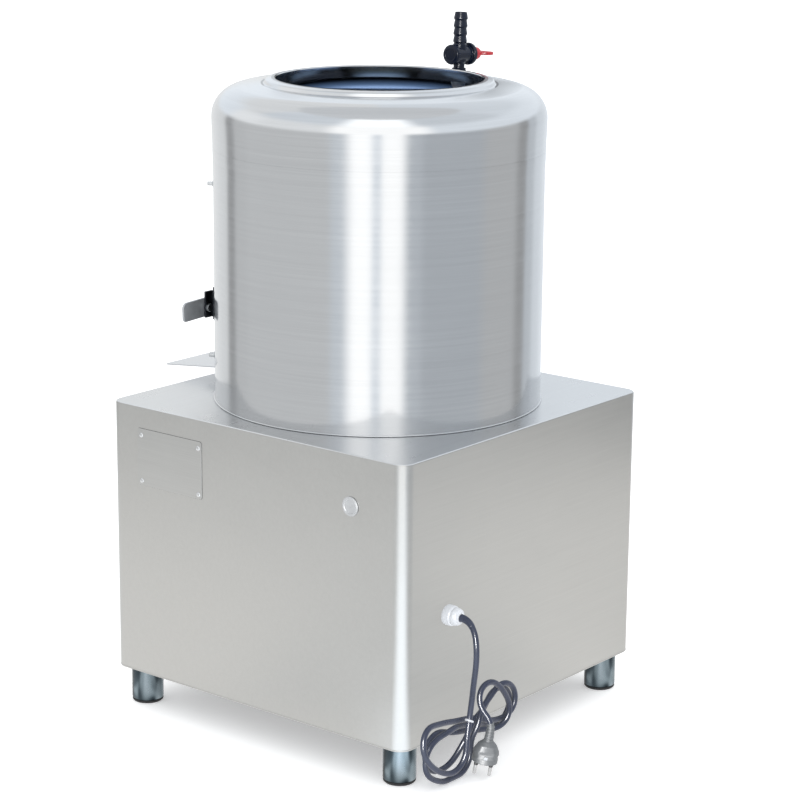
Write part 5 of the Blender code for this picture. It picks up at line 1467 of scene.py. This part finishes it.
def disc():
    z0 = ZT + DISC_Z
    rise = ((0.0300, 0.0), (0.0400, 0.02), (0.0600, 0.45), (0.0850, 0.84), (0.1100, 1.0), (0.1450, 0.97), (0.1750, 0.72), (0.1950, 0.18), (DISC_R, 0.0))
    rr = [r for r, _ in rise]
    hh = [h for _, h in rise]
    rows = [(0.0330 + (DISC_R - 0.0010 - 0.0330) * i / 84, 0.0100) for i in range(85)]
    prof = [(0.0083, -0.0060), (0.0083, 0.0140), (0.0240, 0.0140), (0.0300, 0.0138), (0.0320, 0.0115)] + rows + [
        (DISC_R, 0.0090), (DISC_R, 0.0006), (DISC_R - 0.0006, 0), (0.0385, 0), (0.0385, -0.0300), (0.0345, -0.0300), (0.0345, -0.0080), (0.0220, -0.0080),
        (0.0220, -0.0160), (0.0128, -0.0160), (0.0128, -0.0060)]
    verts, faces = lathe_lists(prof, 300, True)
    v = np.array(verts, float)
    rng = np.random.default_rng(11)
    r = np.hypot(v[:, 0], v[:, 1])
    a = np.arctan2(v[:, 1], v[:, 0])
    top = (v[:, 2] > 0.0085) & (r > 0.0325)
    wave = np.interp(r, rr, hh) * np.maximum(0.0, np.cos(3 * a)) ** 2
    v[top, 2] += 0.0095 * wave[top]
    v[top, 2] += rng.normal(0.0, 0.00035, top.sum())
    ob = link("grit_disc", from_lists("grit_disc", v, faces), "disc", ("abrasive_disc",), [M["disc"]], AXIS + Vector((0, 0, z0)))
    # hub washer and domed nut
    z = z0 + 0.0140 + GAP
    hexa = []
    for k in range(6):
        a0 = PI / 3 * k
        hexa.append((0.0130 * math.cos(a0), 0.0130 * math.sin(a0)))
    nut = link("hub_nut", from_bm("hub_nut", prism_bm(hexa, z + 0.0012, z + 0.0100)), None, (), [M["bright"]])
    cut(nut, rod_bm(0.0084, z - 0.01, z + 0.03, 48))
    cone = lathe_lists([(0, z - 0.002), (0.0137, z - 0.002), (0.0137, z + 0.0082), (0.0108, z + 0.0104), (0, z + 0.0104)], 72, False)
    bm = bmesh.new()
    vs = [bm.verts.new(p) for p in cone[0]]
    for f in cone[1]:
        bm.faces.new([vs[i] for i in f])
    cut(nut, bm, "INTERSECT")
    nut.data.shade_smooth()
    bevelled(nut, 0.0004, 2)
    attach(nut, "disc")
    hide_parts("disc_nut")
    ring = [(0.0084, z), (0.0165, z, 0.0003), (0.0165, z + 0.0012, 0.0004), (0.0084, z + 0.0012)]
    weighted(link("hub_washer", lathe("hub_washer", ring, 64, True), "disc", (), [M["bright"]]))
    # shaft with a threaded end
    shaft = [(0, 0.0900), (0.0125, 0.0900, 0.0010), (0.0125, ZT + 0.0037, 0.0004), (0.0080, ZT + 0.0037)]
    h = ZT + 0.0200
    while h < ZT + 0.0318:
        shaft += [(0.0080, h), (0.0074, h + 0.0005)]
        h += 0.0010
    shaft += [(0.0072, ZT + 0.0326), (0.0060, ZT + 0.0330), (0, ZT + 0.0330)]
    weighted(link("spindle", lathe("spindle", shaft, 64, False), "disc", ("main_shaft",), [M["bright"]]))


def pan_and_drain():
    pan = [(0.2145, GAP), (0.2145, 0.0018, 0.0004), (0.2095, 0.0018, 0.0008), (0.2095, 0.002 - PAN_DEPTH, 0.006), (0.0320, 0.002 - PAN_DEPTH, 0.002),
           (0.0320, -0.0120), (0.0300, -0.0120), (0.0300, -PAN_DEPTH), (0.2110, -PAN_DEPTH, 0.007), (0.2110, GAP)]
    ob = link("catch_pan", lathe("catch_pan", pan, 240, True, (0, 0, ZT)), None, (), [M["pan"]])
    cut(ob, rod_bm(DRAIN_R - 0.0025, ZT - PAN_DEPTH - 0.01, ZT - PAN_DEPTH + 0.01, 64, (DRAIN_X, 0, 0)))
    ob.data.shade_smooth()
    weighted(ob)
    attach(ob, "machine")
    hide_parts("drum_pan")

    z, bend = ZT - PAN_DEPTH - GAP, 0.035
    route = [(DRAIN_X, 0, z), (DRAIN_X, 0, z - 0.0100)]
    for i in range(1, 21):
        a = PI / 2 * i / 20
        route.append((DRAIN_X - bend * (1 - math.cos(a)), 0, z - 0.0100 - bend * math.sin(a)))
    end = -CAB_X / 2 - DRAIN_OUT
    zl = route[-1][2]
    x = route[-1][0]
    # barbed end outside the wall, to take a hose
    marks = [(-CAB_X / 2 - 0.004, 0.0), (-CAB_X / 2 - 0.0065, 0.0), (-CAB_X / 2 - 0.0070, 0.0013), (-CAB_X / 2 - 0.0130, 0.0), (-CAB_X / 2 - 0.0135, 0.0013),
             (-CAB_X / 2 - 0.0195, 0.0), (-CAB_X / 2 - 0.0200, 0.0013), (end + 0.0030, 0.0), (end + 0.0006, -0.0003), (end, -0.0009)]
    rad = [DRAIN_R] * len(route)
    for xm, dr in marks:
        route.append((xm, 0, zl))
        rad.append(DRAIN_R + dr)
    mesh = bent_pipe("drain_elbow", route, rad, DRAIN_R - 0.0025, 72)
    weighted(link("drain_elbow", mesh, "machine", ("drain_pipe",), [M["grey"]]))
    # sealing collar on the wall, and a clamp ring under the pan
    collar = [(DRAIN_R + 0.0003, -CAB_X / 2 - GAP), (DRAIN_R + 0.0065, -CAB_X / 2 - GAP), (DRAIN_R + 0.0065, -CAB_X / 2 - 0.0022, 0.0010), (DRAIN_R + 0.0003, -CAB_X / 2 - 0.0036, 0.0010)]
    weighted(link("drain_collar", lathe("drain_collar", collar, 96, True, (0, 0, zl), "X"), "machine", (), [M["rubber"]]))
    ring = [(DRAIN_R + 0.0003, z - 0.0085), (DRAIN_R + 0.0040, z - 0.0085, 0.0006), (DRAIN_R + 0.0040, z - 0.0010, 0.0006), (DRAIN_R + 0.0003, z - 0.0010)]
    weighted(link("drain_clamp", lathe("drain_clamp", ring, 72, True, (DRAIN_X, 0, 0)), "machine", (), [M["zinc"]]))


def bearing(name, node, z):
    """Ball bearing: outer and inner rings with a groove, a pressed shield between them."""
    prof = [(0.0260, z, 0.0006), (0.0260, z + 0.015, 0.0006), (0.0222, z + 0.015, 0.0002), (0.0220, z + 0.0142), (0.0168, z + 0.0140), (0.0166, z + 0.015, 0.0002),
            (0.0128, z + 0.015, 0.0005), (0.0128, z, 0.0005), (0.0166, z, 0.0002), (0.0168, z + 0.0010), (0.0220, z + 0.0008), (0.0222, z, 0.0002)]
    weighted(link(name, lathe(name, prof, 72, True), "machine", (node,), [M["bright"]]))


def drive():
    bottom = ZT - PAN_DEPTH - GAP
    housing = [(0.0620, bottom), (0.0263, bottom), (0.0263, 0.3517), (0.0200, 0.3517), (0.0200, 0.1973), (0.0263, 0.1973),
               (0.0263, 0.1700), (0.0360, 0.1700, 0.001), (0.0400, 0.1740, 0.002), (0.0400, bottom - 0.0160, 0.003), (0.0480, bottom - 0.0080, 0.003), (0.0620, bottom - 0.0080, 0.0015)]
    weighted(link("spindle_housing", lathe("spindle_housing", housing, 96, True), "machine", ("bearing_housing",), [M["iron"]]))
    for k in range(6):
        a = PI / 3 * k + PI / 6
        x, y = 0.0555 * math.cos(a), 0.0555 * math.sin(a)
        hexa = [(x + 0.0050 * math.cos(PI / 3 * i), y + 0.0050 * math.sin(PI / 3 * i)) for i in range(6)]
        bevelled(link("flange_bolt_%d" % (k + 1), from_bm("flange_bolt_%d" % (k + 1), prism_bm(hexa, bottom - 0.0125, bottom - 0.0079)), "machine", (), [M["zinc"]]), 0.0005, 2)
    bearing("ball_bearing_top", "upper_bearing", 0.3520)
    bearing("ball_bearing_foot", "lower_bearing", 0.1820)
    z = ZT - PAN_DEPTH + 0.004
    seal = [(0.0296, z, 0.0004), (0.0296, z + 0.008, 0.0006), (0.0190, z + 0.008, 0.0004), (0.0180, z + 0.0066), (0.0128, z + 0.0076, 0.0002), (0.0128, z + 0.002), (0.0140, z)]
    weighted(link("lip_seal", lathe("lip_seal", seal, 72, True), "machine", ("shaft_seal",), [M["rubber"]]))

    b = BELT_Z
    big = [(0.0128, b - 0.0150), (0.0240, b - 0.0150, 0.001), (0.0240, b - 0.0040, 0.003), (0.0970, b - 0.0040, 0.003), (0.0970, b - 0.0110, 0.0008),
           (BIG_R, b - 0.0110, 0.0008), (BIG_R, b - 0.0065, 0.0005), (BIG_R - 0.0115, b - 0.0040, 0.0005), (BIG_R - 0.0115, b + 0.0040, 0.0005),
           (BIG_R, b + 0.0065, 0.0005), (BIG_R, b + 0.0110, 0.0008), (0.0970, b + 0.0110, 0.0008), (0.0970, b + 0.0040, 0.003), (0.0240, b + 0.0040, 0.003),
           (0.0240, b + 0.0150, 0.001), (0.0128, b + 0.0150)]
    ob = link("belt_wheel", lathe("belt_wheel", big, 144, True), None, (), [M["iron"]])
    for k in range(5):
        a = 2 * PI * k / 5
        cut(ob, rod_bm(0.0200, b - 0.02, b + 0.02, 40, (0.0600 * math.cos(a), 0.0600 * math.sin(a), 0)))
    ob.data.shade_smooth()
    weighted(ob)
    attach(ob, "disc")
    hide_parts("drive_pulley")

    at = (0, MOTOR_Y, 0)
    small = [(0.0098, b - 0.0130), (SMALL_R, b - 0.0130, 0.0008), (SMALL_R, b - 0.0065, 0.0005), (SMALL_R - 0.0115, b - 0.0040, 0.0005),
             (SMALL_R - 0.0115, b + 0.0040, 0.0005), (SMALL_R, b + 0.0065, 0.0005), (SMALL_R, b + 0.0130, 0.0008), (0.0098, b + 0.0130)]
    weighted(link("motor_wheel", lathe("motor_wheel", small, 96, True, at), "motor_rotor", ("motor_pulley",), [M["iron"]]))
    shaft = [(0, 0.0920), (0.0095, 0.0920, 0.001), (0.0095, 0.1720), (0, 0.1720)]
    weighted(link("rotor_shaft", lathe("rotor_shaft", shaft, 48, False, at), "motor_rotor", ("motor_shaft",), [M["bright"]]))

    # motor: flange, finned body, fan cover with a ring of slots
    z = 0.1453
    flange = [(0.0100, z), (0.0750, z, 0.0012), (0.0750, z + 0.0100, 0.0015), (0.0655, z + 0.0150, 0.003), (0.0630, z + 0.0220), (0.0630, 0.2960), (0.0100, 0.2960), (0.0100, z + 0.02)]
    weighted(link("motor_frame", lathe("motor_frame", flange, 96, True, at), "machine", ("motor_body",), [M["motor"]]))
    fins = bmesh.new()
    for k in range(36):
        a = 2 * PI * k / 36
        place = Matrix.Translation((0, MOTOR_Y, 0)) @ Matrix.Rotation(a, 4, "Z")
        part = block_bm(0.0600, 0.0690, -0.0011, 0.0011, z + 0.0180, 0.2955)
        bmesh.ops.transform(part, matrix=place, verts=part.verts)
        tmp = bpy.data.meshes.new("fin")
        part.to_mesh(tmp)
        part.free()
        fins.from_mesh(tmp)
        bpy.data.meshes.remove(tmp)
    bevelled(link("motor_fins", from_bm("motor_fins", fins), "machine", (), [M["motor"]]), 0.0006, 2)
    cover = [(0.0690, 0.2950), (0.0720, 0.2950, 0.0006), (0.0720, 0.3380, 0.005), (0.0640, 0.3450, 0.004), (0, 0.3450), (0, 0.3430), (0.0630, 0.3430), (0.0690, 0.3370)]
    ob = link("fan_cover", lathe("fan_cover", cover, 96, False, at), None, (), [M["motor"]])
    for k in range(24):
        a = 2 * PI * k / 24
        slot = block_bm(0.0230, 0.0540, -0.0020, 0.0020, 0.3400, 0.3500)
        bmesh.ops.transform(slot, matrix=Matrix.Translation((0, MOTOR_Y, 0)) @ Matrix.Rotation(a, 4, "Z"), verts=slot.verts)
        cut(ob, slot)
    ob.data.shade_smooth()
    weighted(ob)
    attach(ob, "machine")

    finished("motor_plate", "motor_bridge", "machine", M["paint"], 0.0012, 3)
    finished("base_frame", "floor_frame", "machine", M["paint"], 0.0007, 2)

    # V-belt: crowned back, slanted flanks
    verts, faces = [], []
    rings = []
    n_big, n_small = 120, 56
    section = [(-0.0005, -0.0050), (0.0, -0.0046), (0.0003, 0.0), (0.0, 0.0046), (-0.0005, 0.0050), (-0.0012, 0.0055), (-0.0092, 0.0038), (-0.0096, 0.0032), (-0.0096, -0.0032), (-0.0092, -0.0038), (-0.0012, -0.0055)]
    lean = math.asin((BIG_R - SMALL_R) / MOTOR_Y)
    path = []
    for i in range(n_big + 1):
        a = PI - lean + (PI + 2 * lean) * i / n_big
        path.append((0.0, a, BIG_R - 0.0005))
    for i in range(n_small + 1):
        a = lean + (PI - 2 * lean) * i / n_small
        path.append((MOTOR_Y, a, SMALL_R - 0.0005))
    for i, (cy, a, r) in enumerate(path):
        for dr, dz in section:
            q = r + dr
            verts.append((q * math.cos(a), cy + q * math.sin(a), BELT_Z + dz))
    m, n = len(section), len(path)
    for i in range(n):
        for k in range(m):
            j, l = (i + 1) % n, (k + 1) % m
            faces.append((i * m + k, i * m + l, j * m + l, j * m + k))
    mesh = from_lists("v_belt", verts, faces)
    weighted(link("v_belt", mesh, "machine", ("drive_belt",), [M["rubber"]]))


disc()
pan_and_drain()
drive()


# ================================================================ floor, light and close
WARM, PLAIN, COOL = (1.0, 0.998, 0.985), (0.985, 1.0, 1.005), (0.935, 0.99, 1.045)

# What stands round the object, by direction in plan (degrees from +X) and brightness. The key side is at 38 degrees.
BACKDROP, KEY_GAP = 0.93, 1.02
UPRIGHT_CARDS = [(-140, -96, BACKDROP, PLAIN), (-90, -80, 0.90, PLAIN), (-76, -70, 0.42, PLAIN), (-66, -56, 0.68, PLAIN), (-52, 8, 0.71, PLAIN), (12, 17, 0.80, COOL),
                 (24, 34, 1.52, WARM), (36.5, 39.5, KEY_GAP, COOL), (42, 52.5, 1.48, WARM), (58, 64, 0.67, COOL), (68, 104, 0.585, COOL), (112, 136, 0.60, PLAIN),
                 (142, 148, 0.42, PLAIN), (152, 160, 0.70, COOL), (165, 176, 0.88, COOL), (182, 220, BACKDROP, COOL)]
LOW_CARDS = [(-140, -60, 0.98, PLAIN), (-50, -40, 0.97, WARM), (-31, -24, 0.86, PLAIN), (-18, 8, 0.81, PLAIN), (29, 57, 1.85, COOL), (76, 92, 0.74, PLAIN), (100, 116, 0.83, PLAIN),
             (122, 134, 1.00, WARM), (140, 170, 0.93, WARM), (175, 220, 0.98, PLAIN)]
FLOOR_CARDS = [(-140, -60, 1.00, PLAIN), (-50, -24, 1.04, WARM), (-16, 8, 0.91, PLAIN), (29, 57, 1.85, COOL), (76, 92, 0.74, PLAIN), (100, 114, 0.83, PLAIN),
               (121, 132, 1.02, WARM), (138, 170, 0.93, WARM), (175, 220, 1.00, PLAIN)]
COLLAR_CARDS = [(-140, -80, 1.06, COOL), (-70, -50, 1.10, PLAIN), (-40, 4, 1.02, PLAIN), (14, 66, 1.45, WARM), (76, 140, 1.04, COOL), (150, 220, 1.06, COOL)]
HIGH_CARDS = [(-140, -60, 0.95, PLAIN), (-50, 8, 0.90, COOL), (20, 56, 1.60, PLAIN), (68, 130, 0.84, COOL), (140, 220, 0.95, COOL)]


def panels(n, turn, cards):
    """Colour ramp over the direction in plan: flat over each card, straight between neighbours."""
    stops = []
    for a, b, level, tint in cards:
        col = tuple(level * c * 0.5 for c in tint)
        stops.append(((a + 140) / 360, col))
        stops.append(((b + 140) / 360, col))
    return n.ramp(turn, stops[:32])


def emitter(ob, n, colour):
    emit = n.tree.nodes.new("ShaderNodeEmission")
    emit.inputs["Strength"].default_value = 2.0
    n.wire(colour, emit.inputs["Color"])
    n.wire(emit.outputs[0], n.tree.nodes["Material Output"].inputs["Surface"])
    ob.data.materials.append(n.mat)
    for flag in ("visible_camera", "visible_diffuse", "visible_shadow", "visible_transmission", "visible_volume_scatter"):
        setattr(ob, flag, False)


def reflection_cards():
    """Studio cards that only glossy surfaces see: an upright ring and a flat ring on the floor."""
    seg, radius = 160, 1.05
    verts, faces = [], []
    for z in (0.0015, 2.6):
        for k in range(seg):
            a = 2 * PI * k / seg
            verts.append((radius * math.cos(a), radius * math.sin(a), z))
    for k in range(seg):
        j = (k + 1) % seg
        faces.append((k, j, seg + j, seg + k))
    mesh = bpy.data.meshes.new("cards_upright")
    mesh.from_pydata(verts, [], faces)
    ob = bpy.data.objects.new("cards_upright", mesh)
    SCENE.collection.objects.link(ob)
    ob.location = AXIS
    n = Nodes("cards_upright_light")
    x, y, z = n.xyz()
    turn = n.math("FRACT", n.math("ADD", n.math("DIVIDE", n.math("ARCTAN2", y, x), 2 * PI), 1 + 140 / 360))
    a = n.mix(n.range(z, 0.10, 0.19, 0.0, 1.0), panels(n, turn, LOW_CARDS), panels(n, turn, UPRIGHT_CARDS))
    a = n.mix(n.range(z, 0.90, 1.00, 0.0, 1.0), a, panels(n, turn, COLLAR_CARDS))
    a = n.mix(n.range(z, 1.30, 1.55, 0.0, 1.0), a, panels(n, turn, HIGH_CARDS))
    toward = n.math("ADD", n.math("MULTIPLY", x, math.cos(deg(218)) / radius), n.math("MULTIPLY", y, math.sin(deg(218)) / radius))
    flag = n.math("MULTIPLY", n.range(toward, 0.970, 0.994, 0.0, 1.0), n.math("MULTIPLY", n.range(z, 0.86, 0.90, 0.0, 1.0), n.range(z, 1.12, 1.20, 1.0, 0.0)))
    a = n.mix(flag, a, (0.02, 0.02, 0.022))
    emitter(ob, n, a)

    # inside the drum, on the side of the camera: what the far wall shows through the mouth
    verts, faces = [], []
    count = 24
    for h in (ZT + 0.300, ZT + 0.372):
        for k in range(count + 1):
            t = deg(-22 + 120 * k / count)
            verts.append((0.186 * math.cos(t), 0.186 * math.sin(t), h))
    for k in range(count):
        faces.append((k, k + 1, count + 2 + k, count + 1 + k))
    mesh = bpy.data.meshes.new("card_inside")
    mesh.from_pydata(verts, [], faces)
    ob = bpy.data.objects.new("card_inside", mesh)
    SCENE.collection.objects.link(ob)
    ob.location = AXIS
    n = Nodes("card_inside_light")
    x, y, z = n.xyz()
    toward = n.math("ADD", n.math("MULTIPLY", x, math.cos(deg(38)) / 0.186), n.math("MULTIPLY", y, math.sin(deg(38)) / 0.186))
    tall = n.ramp(n.range(z, ZT + 0.300, ZT + 0.372, 0.0, 1.0), [(0.0, (0.30, 0.42, 0.60)), (0.30, (0.14, 0.21, 0.32)), (0.55, (0.020, 0.030, 0.040)), (0.74, (0.055, 0.075, 0.075)), (0.88, (0.012, 0.016, 0.018)), (1.0, (0.0, 0.0, 0.0))])
    emitter(ob, n, n.mix(n.range(toward, 0.70, 0.96, 0.0, 0.6), (0.0, 0.0, 0.0), tall))

    verts = [(0.190 * math.cos(2 * PI * k / 64), 0.190 * math.sin(2 * PI * k / 64), ZT + 0.120) for k in range(64)]
    mesh = bpy.data.meshes.new("card_below")
    mesh.from_pydata(verts, [], [tuple(range(64))])
    ob = bpy.data.objects.new("card_below", mesh)
    SCENE.collection.objects.link(ob)
    ob.location = AXIS
    n = Nodes("card_below_light")
    x, y, z = n.xyz()
    toward = n.math("ADD", n.math("MULTIPLY", x, math.cos(deg(38)) / 0.19), n.math("MULTIPLY", y, math.sin(deg(38)) / 0.19))
    emitter(ob, n, n.ramp(n.range(toward, -1.0, 1.0, 0.0, 1.0), [(0.15, (0.0, 0.0, 0.0)), (0.55, (0.06, 0.10, 0.18)), (1.0, (0.34, 0.50, 0.82))]))

    verts, faces = [], []
    for r in (0.02, radius):
        for k in range(seg):
            a = 2 * PI * k / seg
            verts.append((r * math.cos(a), r * math.sin(a), 0.0))
    for k in range(seg):
        j = (k + 1) % seg
        faces.append((k, j, seg + j, seg + k))
    mesh = bpy.data.meshes.new("cards_floor")
    mesh.from_pydata(verts, [], faces)
    ob = bpy.data.objects.new("cards_floor", mesh)
    SCENE.collection.objects.link(ob)
    ob.location = AXIS + Vector((0, 0, 0.0004))
    n = Nodes("cards_floor_light")
    x, y, z = n.xyz()
    turn = n.math("FRACT", n.math("ADD", n.math("DIVIDE", n.math("ARCTAN2", y, x), 2 * PI), 1 + 140 / 360))
    # under the cabinet the floor is in shade
    inside = n.math("MAXIMUM", n.math("ABSOLUTE", x), n.math("ABSOLUTE", y))
    shade = n.range(inside, 0.10, 0.30, 0.25, 1.0)
    reach = n.math("POWER", n.math("ADD", n.math("MULTIPLY", x, x), n.math("MULTIPLY", y, y)), 0.5)
    lit = n.mix(n.range(reach, 0.36, 0.42, 0.0, 1.0), (0.49, 0.49, 0.485), panels(n, turn, FLOOR_CARDS))
    grey = n.join(shade, shade, shade)
    emitter(ob, n, n.mix(1.0, lit, grey, "MULTIPLY"))


def strip_light(name, at, look, size, power, receivers):
    """Narrow softbox for the highlight line on mouldings and lead only."""
    data = bpy.data.lights.new(name, "AREA")
    data.shape = "RECTANGLE"
    data.size, data.size_y = size
    data.energy = power
    ob = bpy.data.objects.new(name, data)
    SCENE.collection.objects.link(ob)
    ob.location = at
    ob.rotation_euler = (Vector(look) - Vector(at)).to_track_quat("-Z", "Y").to_euler()
    ob.visible_camera = False
    ob.visible_diffuse = False
    ob.visible_transmission = False
    group = bpy.data.collections.new(name + "_receivers")
    for r in receivers:
        group.objects.link(r)
    ob.light_linking.receiver_collection = group
    return ob


def studio():
    bpy.ops.mesh.primitive_plane_add(size=90, location=(0, 0, 0))
    floor = bpy.context.object
    floor.name = "floor"
    n = Nodes("floor_finish")
    n.put(color=(0.93, 0.93, 0.93), rough=1.0, spec=0.0, emit=(1.0, 1.0, 1.0), emit_power=0.40)
    floor.data.materials.append(n.mat)
    world = bpy.data.worlds.new("studio")
    SCENE.world = world
    world.use_nodes = True
    bg = world.node_tree.nodes["Background"]
    bg.inputs["Color"].default_value = (0.95, 0.975, 1.0, 1)
    bg.inputs["Strength"].default_value = 0.80
    # broad overhead light that keeps the floor white and the shadows open
    sun = bpy.data.lights.new("overhead", "SUN")
    sun.energy = 1.2
    sun.angle = deg(120)
    sun.color = (1.0, 0.99, 0.975)
    ob = bpy.data.objects.new("overhead", sun)
    SCENE.collection.objects.link(ob)
    ob.rotation_euler = (0, 0, 0)
    ob.visible_glossy = False
    shiny = {M[k].name for k in ("navy", "red", "green", "white", "cord", "plug", "rubber", "panel", "grey")}
    marked = [o for o in SCENE.objects if o.type == "MESH" and o.data.materials and o.data.materials[0] and o.data.materials[0].name in shiny
              and not o.name.startswith("foot_")]
    strip_light("strip_mouldings", (1.75, 1.15, 0.75), (0.0, 0.1, 0.45), (0.26, 1.5), 220, marked)
    for o in [LEAD] + TIE + PLUG + [o for o in SCENE.objects if o.name.startswith("gland_")]:
        o.visible_glossy = False
    reflection_cards()


studio()
